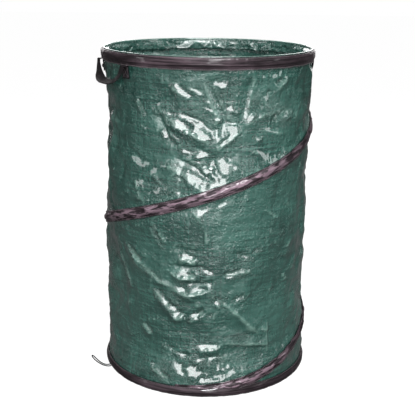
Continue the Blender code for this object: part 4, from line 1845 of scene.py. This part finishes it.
    def floor(self) -> Item:
        """Lay the round floor in the foot, crumpled towards its middle.

        Returns:
            The floor cloth.
        """
        square, cells = (self.floor_square, self.floor_square), (150, 150)
        raster = blurred(Crumple(0.05, 0.0022, 91).raster(square, cells), 1)
        small = Crumple(0.02, 0.0009, 92).raster(square, cells)

        def way(u: Array, v: Array) -> Array:
            """Give the floor's points, from its edge to its middle.

            Args:
                u: Shares of the cut's length.
                v: Shares of its width.

            Returns:
                One point for each.
            """
            angle = u * TURN
            radius = (PLAN.floor_radius + 0.001) * (1 - v)
            points = around(angle, radius, np.zeros_like(u))
            x, y = points[:, :2].T / self.floor_square + 0.5
            rise = 0.0024 + sampled(raster, x, y) + sampled(small, x, y)
            points[:, 2] = 0.0003 + np.maximum(rise, 0) * ease((PLAN.floor_radius - radius) / 0.02)
            return points

        cut = FlatCut("floor_cloth", TURN * PLAN.floor_radius, PLAN.floor_radius, 288, 60)
        item = cut.laid(way, closed=True)
        flat = read_points(item.data)[:, :2]
        write_flat_map(item.data, flat)
        radius = np.hypot(*flat.T)
        write_attribute(item.data, "crush", 0.3 + 0.3 * np.sin(radius * 60) ** 2)
        dress(item, Tarpaulin(), Body.BASE, Slot.TARPAULIN, "floor_panel")
        return item

    def build(self) -> None:
        wall, hem, floor = self.wall(), self.hem(), self.floor()


@dataclass(frozen=True)
class TapeProfile:
    """How a binding tape stands out from the wall between its two stitched edges."""

    lip: float = 0.2252
    crest: float = 0.2284
    half_width: float = 0.0128
    wire_offset: float = 0.0
    hump: float = 0.0042
    fall: float = 0.0052

    def radius(self, offset: Array) -> Array:
        """Return the tape's outer radius at distances above its middle line.

        Args:
            offset: The distances.

        Returns:
            The radius at each.
        """
        aside = np.abs(offset - self.wire_offset)
        soft = np.where(offset < self.wire_offset, self.fall, 0.0052)
        stand = ease((self.hump + soft - aside) / soft)
        edge = ease((self.half_width - np.abs(offset)) / 0.0012)
        return self.lip + (self.crest - self.lip) * stand - 0.0007 * (1 - edge)


def wear_tape(item: Item) -> None:
    """Mark where a tape is painted with sheen and given more gloss: most at the front and at the back.

    Args:
        item: The tape.
    """
    x, y, _ = read_points(item.data).T
    angle = np.arctan2(y, x)
    front = window(turn_between(angle, radians(-97)), 0.55, 0.75)
    back = window(turn_between(angle, radians(95)), 0.7, 0.9)
    # Painted sheen: the tape is painted lighter where the lamps reflect from it at the front, and
    # likewise at the back
    write_attribute(item.data, "painted_sheen_and_gloss", 0.28 + 0.72 * np.maximum(front, back))


@dataclass(frozen=True)
class RingBinding:
    """A tape folded round the rim or the foot, over its hoop."""

    name: str
    node: str
    body: Body
    middle: float
    profile: TapeProfile
    stitch_offsets: tuple[float, ...]
    seed: int
    lap_angle: float = radians(-71)
    columns: int = 600
    rows: int = 18

    def build(self, over: Way | None = None) -> Item:
        """Fold the tape round the bag and sew it.

        Args:
            over: Gives how far the tape stands out over what lies under it, at angles
                and at heights.

        Returns:
            The tape.
        """
        raster = blurred(Crumple(0.0085, 0.0005, self.seed).raster((0.9, 0.026), (900, 16)), 2)
        half = self.profile.half_width

        def outside(angle: Array, offset: Array) -> Array:
            """Give the tape's outer radius with its wrinkles.

            Args:
                angle: Angles round the axis.
                offset: Distances above the tape's middle.

            Returns:
                The radius at each place.
            """
            soft = sampled(raster, angle % TURN / TURN, offset / 0.026 + 0.5)
            edge = ease((np.abs(offset) - 0.004) / 0.006)
            pull = np.sin(angle * 118 + 2 * np.sin(angle * 13)) * np.sin(angle * 47 + self.seed)
            turn = turn_between(angle, self.lap_angle)
            lap = 0.0005 * ease(turn / 0.004) * ease((0.09 - turn) / 0.02)
            radius = self.profile.radius(offset) + soft + 0.00025 * edge * pull + lap
            if over:
                radius = np.maximum(radius, over(angle, self.middle + offset))
            return np.minimum(radius, PLAN.radius + 0.0008)

        def way(u: Array, v: Array) -> Array:
            """Give the tape's points.

            Args:
                u: Shares of the cut's length.
                v: Shares of its width.

            Returns:
                One point for each.
            """
            angle = u * TURN
            offset = (v * 2 - 1) * half
            ripple = 0.00035 * np.sin(angle * 23 + self.seed) + 0.0003 * np.sin(angle * 61)
            height = self.middle + offset + ripple * ease(1 - v * 4)
            return around(angle, outside(angle, offset), np.maximum(height, 0.0002))

        cut = FlatCut(self.name, TURN * PLAN.radius, 2 * half, self.columns, self.rows)
        item = cut.laid(way, closed=True)
        finish_with(item, "SOLIDIFY", thickness=PLAN.tape_thickness, offset=-1.0)
        wear_tape(item)
        dress(item, BindingTape(), self.body, Slot.TAPE, self.node)
        for number, offset in enumerate(self.stitch_offsets):
            self.stitch(number, offset, outside)
        return item

    def stitch(self, number: int, offset: float, outside: Way) -> None:
        """Sew one row of stitches round the tape.

        Args:
            number: The row's number.
            offset: Its height above the tape's middle.
            outside: Gives the tape's outer radius at angles and heights.
        """
        count = round(TURN * PLAN.radius / 0.0042)
        run = StitchRun("%s_stitches_%d" % (self.name, number + 1), count)

        def way(index: Array, along: Array, across: Array, out: Array) -> Array:
            """Give the stitches' points.

            Args:
                index: The stitches' numbers.
                along: Places along a stitch.
                across: Places across it.
                out: Places out from the cloth.

            Returns:
                One point for each.
            """
            angle = index / count * TURN + along / PLAN.radius
            slip = 0.0002 * np.sin(index * 1.7)
            radius = outside(angle, np.full_like(angle, offset)) + out + 0.0001
            return around(angle, radius, self.middle + offset + across + slip)

        dress(run.sewn(way), SewingThread(), self.body, Slot.TAPE)


@dataclass(frozen=True)
class CoilBinding:
    """The tape sewn up the wall over the coil, and the coil's wire inside it."""

    columns: int = 900
    rows: int = 16
    first: float = radians(14)
    profile: TapeProfile = TapeProfile(lip=0.2249, crest=0.2286, half_width=0.0124, hump=0.0030)
    wire_sides: int = 10

    def at(self, swept: Array, offset: Array, radius: Array) -> Array:
        """Return points beside the coil's path.

        Args:
            swept: Angles turned from the coil's lower end.
            offset: Distances square to the path, upwards.
            radius: Distances from the bag's axis.

        Returns:
            The points.
        """
        step = 0.002
        climb = PLAN.coil_height(swept + step) - PLAN.coil_height(swept - step)
        slope = np.arctan2(climb, 2 * step * PLAN.wire_radius)
        angle = PLAN.coil_start + swept - offset * np.sin(slope) / PLAN.wire_radius
        return around(angle, radius, PLAN.coil_height(swept) + offset * np.cos(slope))

    def outside(self, raster: Array, swept: Array, offset: Array) -> Array:
        """Return the casing's outer radius with its wrinkles.

        Args:
            raster: The casing's soft creases.
            swept: Angles turned from the coil's lower end.
            offset: Distances square to the coil's path.

        Returns:
            The radius at each place.
        """
        along = swept / PLAN.coil_span
        soft = sampled(raster, along, offset / 0.025 + 0.5)
        drag = np.sin(swept * 71 + offset * 420 + 2.5 * np.sin(swept * 9)) * np.sin(swept * 29 + 0.6)
        shift = 0.0012 * np.sin(swept * 5.3) + 0.0008 * np.sin(swept * 12.7)
        radius = self.profile.radius(offset - shift * ease(1 - np.abs(offset) / 0.0124))
        return np.minimum(radius + soft + 0.0003 * drag, PLAN.radius + 0.0009)

    def build(self) -> None:
        """Sew the casing up the wall and lay the wire in it."""
        raster = Crumple(0.0115, 0.0014, 131).raster((2.5, 0.025), (1000, 14))
        half = self.profile.half_width
        last = PLAN.coil_span - self.first

        def way(u: Array, v: Array) -> Array:
            """Give the casing's points."""
            swept, offset = self.first + u * (last - self.first), (v * 2 - 1) * half
            return self.at(swept, offset, self.outside(raster, swept, offset))

        item = FlatCut("coil_binding", 2.4, 2 * half, self.columns, self.rows).laid(way)
        cut_through((0, 0, PLAN.foot_band_height), (0, 0, 1), clear_inner=True)
        cut_through((0, 0, PLAN.top_band_bottom), (0, 0, 1), clear_outer=True)
        finish_with(item, "SOLIDIFY", thickness=PLAN.tape_thickness, offset=-1.0)
        # The casing's black edges are painted shade, and its bright mauve blotches carry painted sheen
        finish = BindingTape(
            "crumpled_binding_tape",
            crease_depth=0.0016,
            shine_from=0.49,
            shine=1.0,
            width=2 * half,
            edge_width=0.0075,
            blotches=0.8,
            thread=0.02,
            gloss=0.12,
            edge=(0.0015, 0.0012, 0.0014, 1),
            worn=(0.13, 0.094, 0.113, 1),
        )
        wear_tape(item)
        dress(item, finish, Body.BASE, Slot.TAPE, "coil_casing")
        fold_with_coil(item)
        for number, offset in enumerate((-0.0104, 0.0104)):
            self.stitch(number, offset, raster)
        self.wire()

    def stitch(self, number: int, offset: float, raster: Array) -> None:
        """Sew one edge of the casing to the wall.

        Args:
            number: The row's number.
            offset: Its distance from the casing's middle.
            raster: The casing's wrinkles.
        """
        first, last = radians(40), PLAN.coil_span - radians(42)
        count = round((last - first) * PLAN.radius / 0.0043)
        run = StitchRun("coil_binding_stitches_%d" % (number + 1), count)

        def way(index: Array, along: Array, across: Array, out: Array) -> Array:
            """Give the stitches' points.

            Args:
                index: The stitches' numbers.
                along: Places along a stitch.
                across: Places across it.
                out: Places out from the cloth.

            Returns:
                One point for each.
            """
            swept = first + (last - first) * index / count + along / PLAN.radius
            beside = offset + across + 0.0002 * np.sin(index * 2.3)
            radius = self.outside(raster, swept, np.full_like(swept, offset)) + out + 0.0001
            return self.at(swept, beside, radius)

        item = dress(run.sewn(way), SewingThread(), Body.BASE, Slot.TAPE)
        fold_with_coil(item)

    def wire(self) -> None:
        """Draw the coil's wire from hoop to hoop."""
        reach = radians(6)
        rod = PLAN.wire_diameter / 2

        def way(u: Array, v: Array) -> Array:
            """Give the wire's points.

            Args:
                u: Shares of the cut's length.
                v: Shares of its width.

            Returns:
                One point for each.
            """
            swept = -reach + u * (PLAN.coil_span + 2 * reach)
            side = -v * TURN
            radius = PLAN.wire_radius + rod * np.cos(side)
            angle = PLAN.coil_start + swept
            return around(angle, radius, PLAN.coil_height(swept) + rod * np.sin(side))

        item = FlatCut("coil_spring_wire", 2.6, TURN * rod, 720, self.wire_sides).laid(way, closed=True)
        close_ends(item)
        dress(item, Wire(), Body.BASE, Slot.SPRING_STEEL, "coil_wire")
        fold_with_coil(item)


@dataclass(frozen=True)
class SewnEnd:
    """A strap's end: a tail sewn flat on the wall and folded back from under the band."""

    name: str
    node: str
    angle: float
    facing: float
    width: float
    thickness: float
    tail: float
    tuck: float = 0.009
    boxed: bool = True

    @property
    def hinge(self) -> tuple[float, float]:
        """The fold line's distance from the axis and its height.

        Returns:
            The two distances.
        """
        half_span = self.facing - self.angle
        stand_off = 2 * PLAN.clearance + self.width / 2 * abs(math.sin(half_span)) + self.thickness / 2
        return PLAN.radius + stand_off, PLAN.top_band_bottom - PLAN.clearance - self.thickness / 2

    def side_view(self) -> Array:
        """Return the strap's middle line from the tail's end to its lip, out and up.

        Returns:
            One row for each point: its distance from the axis and its height.
        """
        half = self.thickness / 2
        inner = PLAN.seat_radius + half
        outer = PLAN.seat_radius + self.thickness + PLAN.clearance + half
        low = PLAN.top_band_bottom - self.tail
        high = PLAN.top_band_bottom + self.tuck - half
        radius, height = self.hinge
        tail_radius = float(PLAN.wall_radius(np.array([self.angle]), np.array([low]))[0])
        lip = radius - (half + PLAN.clearance) / math.cos(self.facing - self.angle)
        return np.array(
            [
                (tail_radius + PLAN.clearance + half, low),
                (inner, PLAN.top_band_bottom),
                (inner, high - 0.0008),
                (inner + 0.0003, high - 0.0001),
                ((inner + outer) / 2, high + 0.0003),
                (outer - 0.0003, high - 0.0001),
                (outer, high - 0.0008),
                (outer, PLAN.top_band_bottom + 0.0030),
                (outer + 0.0005, PLAN.top_band_bottom + 0.0012),
                (outer + 0.0018, height + 0.0005),
                (outer + 0.0035, height),
                (lip, height),
            ]
        )

    def place(self, share: Array, aside: Array, out: Array) -> Array:
        """Return points on the strap.

        Args:
            share: Shares of its length from the tail's end.
            aside: Distances from its middle line.
            out: Distances outwards from its face.

        Returns:
            The points.
        """
        line = self.side_view()
        steps = run_lengths(line)
        steps /= steps[-1]
        radius = np.interp(share, steps, line[:, 0])
        height = np.interp(share, steps, line[:, 1])
        lip = ease((share - steps[-4]) / (1 - steps[-4]))
        radius = radius - lip * aside * math.tan(self.facing - self.angle) + out
        tangent = outward(self.angle + math.pi / 2)
        return around(self.angle, radius, height) + tangent * aside[:, None]

    def build(self) -> Item:
        """Fold the strap's end, thicken it and sew its box and cross.

        Returns:
            The sewn end.
        """
        length = float(run_lengths(self.side_view())[-1])

        def way(u: Array, v: Array) -> Array:
            """Give the end's points."""
            ripple = 0.00025 * np.sin(u * 19 + v * 5) * ease(1 - u * 2.2)
            return self.place(u, (v - 0.5) * self.width, np.abs(ripple))

        item = FlatCut(self.name, length, self.width, 84, 12).laid(way)
        cloth = self.thickness * CLOTH_SHARE
        finish_with(item, "SOLIDIFY", thickness=cloth, offset=0.0, use_even_offset=False)
        finish_with(item, "BEVEL", width=0.0002, segments=2, limit_method="ANGLE")
        soften(item)
        dress(item, Webbing(), Body.RIM, Slot.WEBBING, self.node)
        if self.boxed:
            self.stitch(length)
        return item

    def stitch(self, length: float) -> None:
        """Sew the box and cross that hold the tail to the wall.

        Args:
            length: The end's length along its folds.
        """
        half = self.width / 2 - 0.0025
        low, high = 0.003 / length, (self.tail - 0.003) / length
        corners = [(-half, low), (half, low), (half, high), (-half, high)]
        runs = [(corners[n], corners[(n + 1) % 4]) for n in range(4)]
        runs += [(corners[0], corners[2]), (corners[1], corners[3])]
        marks = []
        for (x0, y0), (x1, y1) in runs:
            reach = math.hypot(x1 - x0, (y1 - y0) * length)
            count = round(reach / 0.0030)
            for n in range(count):
                share = (n + 0.5) / count
                heading = math.atan2((y1 - y0) * length, x1 - x0)
                marks.append((x0 + (x1 - x0) * share, y0 + (y1 - y0) * share, heading))
        table = np.array(marks)
        run = StitchRun(self.name + "_stitches", len(marks), length=0.0024, thread=0.0006)

        def way(index: Array, along: Array, across: Array, out: Array) -> Array:
            """Give the stitches' points.

            Args:
                index: The stitches' numbers.
                along: Places along a stitch.
                across: Places across it.
                out: Places out from the cloth.

            Returns:
                One point for each.
            """
            spot = table[np.clip(index.astype(int), 0, len(table) - 1)]
            aside = spot[:, 0] + along * np.cos(spot[:, 2]) - across * np.sin(spot[:, 2])
            share = spot[:, 1] + (along * np.sin(spot[:, 2]) + across * np.cos(spot[:, 2])) / length
            return self.place(share, aside, self.thickness / 2 + 0.0002 + out)

        dress(run.sewn(way), SewingThread(), Body.RIM, Slot.WEBBING)


@dataclass(frozen=True)
class CarryHandle:
    """A webbing handle that hangs from its two sewn ends under the rim."""

    side: str
    body: Body
    width: float = 0.020
    thickness: float = 0.0012
    drop: float = 0.038
    bow: float = 0.003
    leg_drop: float = 0.023
    leg_reach: float = 0.0015
    bottom_reach: float = 0.048
    bottom_tilt: float = radians(18)
    tail: float = 0.026

    @property
    def facing(self) -> float:
        """The angle that the handle faces."""
        return HANDLE_ANGLES[self.side]

    def ends(self) -> list[SewnEnd]:
        """Return the handle's two sewn ends.

        Returns:
            The front end and the back end.
        """
        front = 1 if self.side == "left" else -1
        made = []
        for end, sign in (("front", front), ("back", -front)):
            name = "%s_handle_%s_end" % (self.side, end)
            node = "handle_%s_%s_end" % (self.side, end)
            angle = self.facing + sign * PLAN.handle_half_span
            made.append(SewnEnd(name, node, angle, self.facing, self.width, self.thickness, self.tail))
        return made

    def centre(self, share: Array, radius: float) -> Array:
        """Return the strap's middle line as distances sideways, outwards and down.

        Args:
            share: Shares of the way from an end to the strap's middle.
            radius: The ends' distance from the axis.

        Returns:
            One row for each share.
        """
        span = PLAN.handle_half_span
        end = np.array([radius * math.sin(span), radius * math.cos(span), 0])
        leg = end + (0, self.leg_reach, -self.leg_drop)
        bottom_out = PLAN.radius + self.bow
        sweep = np.array([self.bottom_reach, bottom_out, -self.drop])
        bottom = np.array([0, bottom_out, -self.drop])
        share = share[:, None]
        rest = 1 - share
        upper = end * rest**3 + leg * 3 * rest**2 * share
        return upper + sweep * 3 * rest * share**2 + bottom * share**3

    def build(self) -> None:
        """Sew the ends and hang the strap between them."""
        ends = self.ends()
        for end in ends:
            end.build()
        radius, height = ends[0].hinge
        out, up = outward(self.facing), np.array([0.0, 0.0, 1.0])
        chord = np.cross(up, out)

        def turned(local: Array, sign: Array) -> Array:
            """Turn the handle's own directions to the bag's."""
            aside = chord * (local[:, 0] * sign)[:, None]
            return aside + out * local[:, 1][:, None] + up * local[:, 2][:, None]

        def unit(vectors: Array) -> Array:
            """Return vectors with a length of 1 each."""
            return vectors / np.linalg.norm(vectors, axis=1, keepdims=True)

        def way(u: Array, v: Array) -> Array:
            """Give the strap's points.

            Args:
                u: Shares of the cut's length.
                v: Shares of its width.

            Returns:
                One point for each.
            """
            share = 1 - np.abs(2 * u - 1)
            sign = np.where(u > 0.5, 1.0, -1.0)
            point = self.centre(share, radius)
            ahead = self.centre(np.minimum(share + 0.01, 1), radius)
            ahead = ahead - self.centre(np.maximum(share - 0.01, 0), radius)
            point[:, 2] += height
            middle, along = turned(point, sign), turned(ahead, sign)
            flat = unit(-sign[:, None] * np.cross(along, out))
            edge = unit(-sign[:, None] * np.cross(flat, along))
            twist = ease(share) * (math.pi / 2 - self.bottom_tilt)
            across = flat * np.cos(twist)[:, None] + edge * np.sin(twist)[:, None]
            face = unit(-sign[:, None] * np.cross(along, across))
            aside = (v - 0.5) * self.width
            cup = 0.0004 * np.cos((v - 0.5) * math.pi) * ease(share * 2)
            ripple = 0.00025 * np.sin(u * 40 + 1.7) * ease(share * 3)
            return middle + across * aside[:, None] + face * (cup + ripple)[:, None]

        item = FlatCut(self.side + "_carry_handle", 0.19, self.width, 150, 12).laid(way)
        finish_with(item, "SOLIDIFY", thickness=self.thickness * CLOTH_SHARE, offset=0.0)
        finish_with(item, "BEVEL", width=0.00025, segments=2, limit_method="ANGLE")
        soften(item)
        dress(item, Webbing(), self.body, Slot.WEBBING, "handle_" + self.side)


@dataclass(frozen=True)
class BarrelToggle:
    """The toggle that the elastic loop hooks over, on a ribbon under the rim."""

    length: float = 0.032
    radius: float = 0.0045
    waist: float = 0.003
    hang: float = 0.020
    ribbon_width: float = 0.010
    ribbon_thickness: float = 0.0008
    ribbon_tail: float = 0.008
    rounding: float = 0.0011
    grooves: tuple[float, ...] = (0.0108, 0.0112, 0.0118, 0.0122, 0.0134, 0.0138)
    groove_share: float = 0.93
    loop_thickness: float = 0.0004
    loop_steps: int = 40

    def end(self) -> SewnEnd:
        """Return the ribbon's sewn end.

        Returns:
            The sewn end.
        """
        sizes = (self.ribbon_width, self.ribbon_thickness, self.ribbon_tail)
        names = ("toggle_ribbon_end", "toggle_tab")
        return SewnEnd(*names, TOGGLE_ANGLE, TOGGLE_ANGLE, *sizes, boxed=False)

    def stand(self, height: float, radius: float) -> Matrix:
        """Return the place of the toggle's middle, its axis along the rim.

        Args:
            height: The middle's height.
            radius: Its distance from the axis.

        Returns:
            The place.
        """
        out = Vector(outward(TOGGLE_ANGLE))
        turn = Matrix((out, UP, out.cross(UP))).transposed().to_4x4()
        return Matrix.Translation(out * radius + UP * height) @ turn

    def barrel(self, stand: Matrix) -> Item:
        """Turn the barrel with its waist, a groove near each end and rounded rims.

        Args:
            stand: The place of its middle.

        Returns:
            The barrel.
        """
        bpy.ops.object.select_all(action="DESELECT")
        bpy.ops.mesh.primitive_cylinder_add(vertices=40, radius=self.radius, depth=self.length)
        item = named(bpy.context.object, "barrel_toggle")
        half = self.ribbon_width / 2 + PLAN.clearance
        for sign in (-1, 1):
            for height in (half - 0.0006, half, half + 0.0012, half + 0.0016, *self.grooves):
                cut_through((0, 0, sign * height), (0, 0, 1))
        points = read_points(item.data)
        far = np.abs(points[:, 2])
        size = np.ones_like(far)
        size[far < half + 0.0001] = self.waist / self.radius
        size[(far > 0.0110) & (far < 0.0120)] = self.groove_share
        points[:, :2] *= size[:, None]
        write_points(item.data, points)
        sharp = {"limit_method": "ANGLE", "angle_limit": radians(80)}
        finish_with(item, "BEVEL", width=self.rounding, segments=4, **sharp)
        item.data.transform(stand)
        soften(item, radians(35))
        dress(item, MouldedPlastic(), Body.TOGGLE, Slot.TOGGLE_PLASTIC, "closure_toggle")
        return item

    def ribbon(self, stand: Matrix) -> Item:
        """Loop the ribbon round the toggle's waist and up to its neck.

        Args:
            stand: The place of the toggle's middle.

        Returns:
            The ribbon.
        """
        thin = self.loop_thickness
        eye = self.waist + PLAN.clearance + thin / 2 + 0.0001
        start = radians(62)
        turn = TURN + 2 * start - math.pi
        neck = self.hang - 0.0002
        angles = start - turn * np.arange(self.loop_steps + 1) / self.loop_steps
        round_waist = around(angles, eye, 0.0)[:, :2]
        path = np.array([(thin / 2, neck), *round_waist, (-thin / 2, neck)])
        steps = run_lengths(path)
        length, width = float(steps[-1]), self.ribbon_width
        place = np.array(stand)

        def way(u: Array, v: Array) -> Array:
            """Give the ribbon's points."""
            bent = [np.interp(u * length, steps, row) for row in path.T]
            return (np.stack([*bent, (v - 0.5) * width, np.ones_like(u)], -1) @ place.T)[:, :3]

        item = FlatCut("toggle_ribbon_loop", length, width, 90, 8).laid(way)
        finish_with(item, "SOLIDIFY", thickness=thin, offset=0.0)
        soften(item)
        dress(item, Webbing(), Body.TOGGLE, Slot.WEBBING, "toggle_ribbon")
        return item

    def build(self) -> None:
        """Make the ribbon's end, the ribbon and the barrel."""
        end = self.end()
        end.build()
        radius, height = end.hinge
        stand = self.stand(height - self.hang, radius)
        self.ribbon(stand)
        self.barrel(stand)


@dataclass(frozen=True)
class ElasticLoop:
    """The elastic loop at the foot, sewn into the foot band at both ends."""

    angle: float = radians(203)
    diameter: float = 0.0025
    length: float = 0.1139
    spacing: float = 0.001
    sides: int = 14
    route: tuple[Spot, ...] = (
        (0.0003, 0.0052, 0.0), (0.0080, 0.0054, -0.0007), (0.0169, 0.0085, -0.0021),
        (0.0259, 0.0144, -0.0031), (0.0343, 0.0221, -0.0035), (0.0410, 0.0309, -0.0029),
        (0.0435, 0.0370, -0.0004), (0.0410, 0.0372, 0.0025), (0.0350, 0.0303, 0.0035),
        (0.0278, 0.0221, 0.0035), (0.0204, 0.0157, 0.0027), (0.0134, 0.0116, 0.0016),
        (0.0070, 0.0098, 0.0006), (0.0003, 0.0095, 0.0),
    )

    def path(self) -> list[Vector]:
        """Return evenly spaced points on a smooth curve through the route.

        Returns:
            The points.
        """
        out = Vector(outward(self.angle))
        side = UP.cross(out)
        route = [out * (PLAN.radius + r) + side * a + UP * h for r, h, a in self.route]
        ends = [2 * route[0] - route[1], *route, 2 * route[-1] - route[-2]]
        fine = []
        for before, first, second, after in zip(ends, ends[1:], ends[2:], ends[3:]):
            leaving = first + (second - before) / 6
            arriving = second - (after - first) / 6
            fine += interpolate_bezier(first, leaving, arriving, second, 13)[:-1]
        fine.append(route[-1])
        steps = np.concatenate([[0], np.cumsum([(b - a).length for a, b in zip(fine, fine[1:])])])
        even = np.linspace(0, steps[-1], round(steps[-1] / self.spacing) + 1)
        table = np.array([tuple(p) for p in fine])
        spots = np.stack([np.interp(even, steps, table[:, axis]) for axis in range(3)], -1)
        return [Vector(spot) for spot in spots]

    def build(self) -> Item:
        """Returns:
            The cord.
        """
        path = self.path()
        table = np.array([tuple(p) for p in path])
        ahead = np.gradient(table, axis=0)
        ahead /= np.linalg.norm(ahead, axis=1, keepdims=True)
        rise = np.cross(ahead, outward(self.angle + math.pi / 2))
        rise *= self.diameter / 2 / np.linalg.norm(rise, axis=1, keepdims=True)
        beside = np.cross(rise, ahead)
        count = len(path) - 1

        def way(u: Array, v: Array) -> Array:
            """Give the cord's points."""
            index, turn = np.round(u * count).astype(int), v[:, None] * TURN
            return table[index] + beside[index] * np.cos(turn) + rise[index] * np.sin(turn)

        cut = FlatCut("closure_elastic_loop", self.length, math.pi * self.diameter, count, self.sides)
        item = cut.laid(way, closed=True)
        close_ends(item)
        dress(item, ElasticCord(), Body.BASE, Slot.ELASTIC, "closure_loop")
        return item


@dataclass(frozen=True)
class PackedWires:
    """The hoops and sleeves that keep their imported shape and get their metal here."""

    steel: tuple[str, ...] = ("top_hoop_wire", "bottom_hoop_wire")
    sleeves: tuple[str, ...] = ("top_ferrule", "bottom_ferrule")

    def build(self) -> None:
        """Give each packed wire and sleeve its metal."""
        aluminium = Wire("crimped_aluminium", (0.68, 0.68, 0.7, 1), (0.42, 0.42, 0.43, 1), 0.35)
        for names, finish in ((self.steel, Wire()), (self.sleeves, aluminium)):
            for item in bpy.data.objects:
                if item.name in names or item.get("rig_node") in names:
                    for slot in item.material_slots:
                        slot.material = finish.material()
                    log.info("%s: given %s", item.name, finish.name)


def band_over_straps(angle: Array, height: Array) -> Array:
    """Return how far out the rim's tape is pushed by the straps sewn under it.

    Args:
        angle: Angles round the axis.
        height: Heights above the ground.

    Returns:
        The tape's least radius at each place, or 0.
    """
    out = np.zeros_like(height)
    for middle, half, radius in tail_spots((0.0105, 0.2273), (0.0055, 0.2270)):
        aside = window(turn_between(angle, middle) * PLAN.radius, half, 0.004)
        low = ease((PLAN.top_band_bottom + 0.0125 - height) / 0.003)
        out = np.maximum(out, aside * low * radius)
    return out


def main() -> None:
    """Build the bag, its studio and its camera, and report each piece."""
    logging.basicConfig(level=logging.INFO, format="%(name)s %(message)s")
    PhotoCamera().build()
    ElasticLoop().build()
    Studio().build()
    rim_tape = TapeProfile(half_width=0.0122, wire_offset=0.0030, fall=0.011)
    middle = PLAN.top_band_bottom + rim_tape.half_width
    rows = (-0.0102, 0.0106)
    rim = RingBinding("rim_binding", "top_binding", Body.RIM, middle, rim_tape, rows, seed=17)
    rim.build(band_over_straps)
    foot_tape = TapeProfile(half_width=0.0103, wire_offset=-0.001, hump=0.0035)
    foot = ("foot_binding", "bottom_binding", Body.BASE, 0.0105, foot_tape, (0.0086,))
    RingBinding(*foot, seed=29, lap_angle=radians(140)).build()
    CoilBinding().build()
    TarpaulinTube().build()
    CarryHandle("left", Body.LEFT_HANDLE).build()
    CarryHandle("right", Body.RIGHT_HANDLE).build()
    BarrelToggle().build()
    PackedWires().build()


if __name__ == "__main__":
    main()
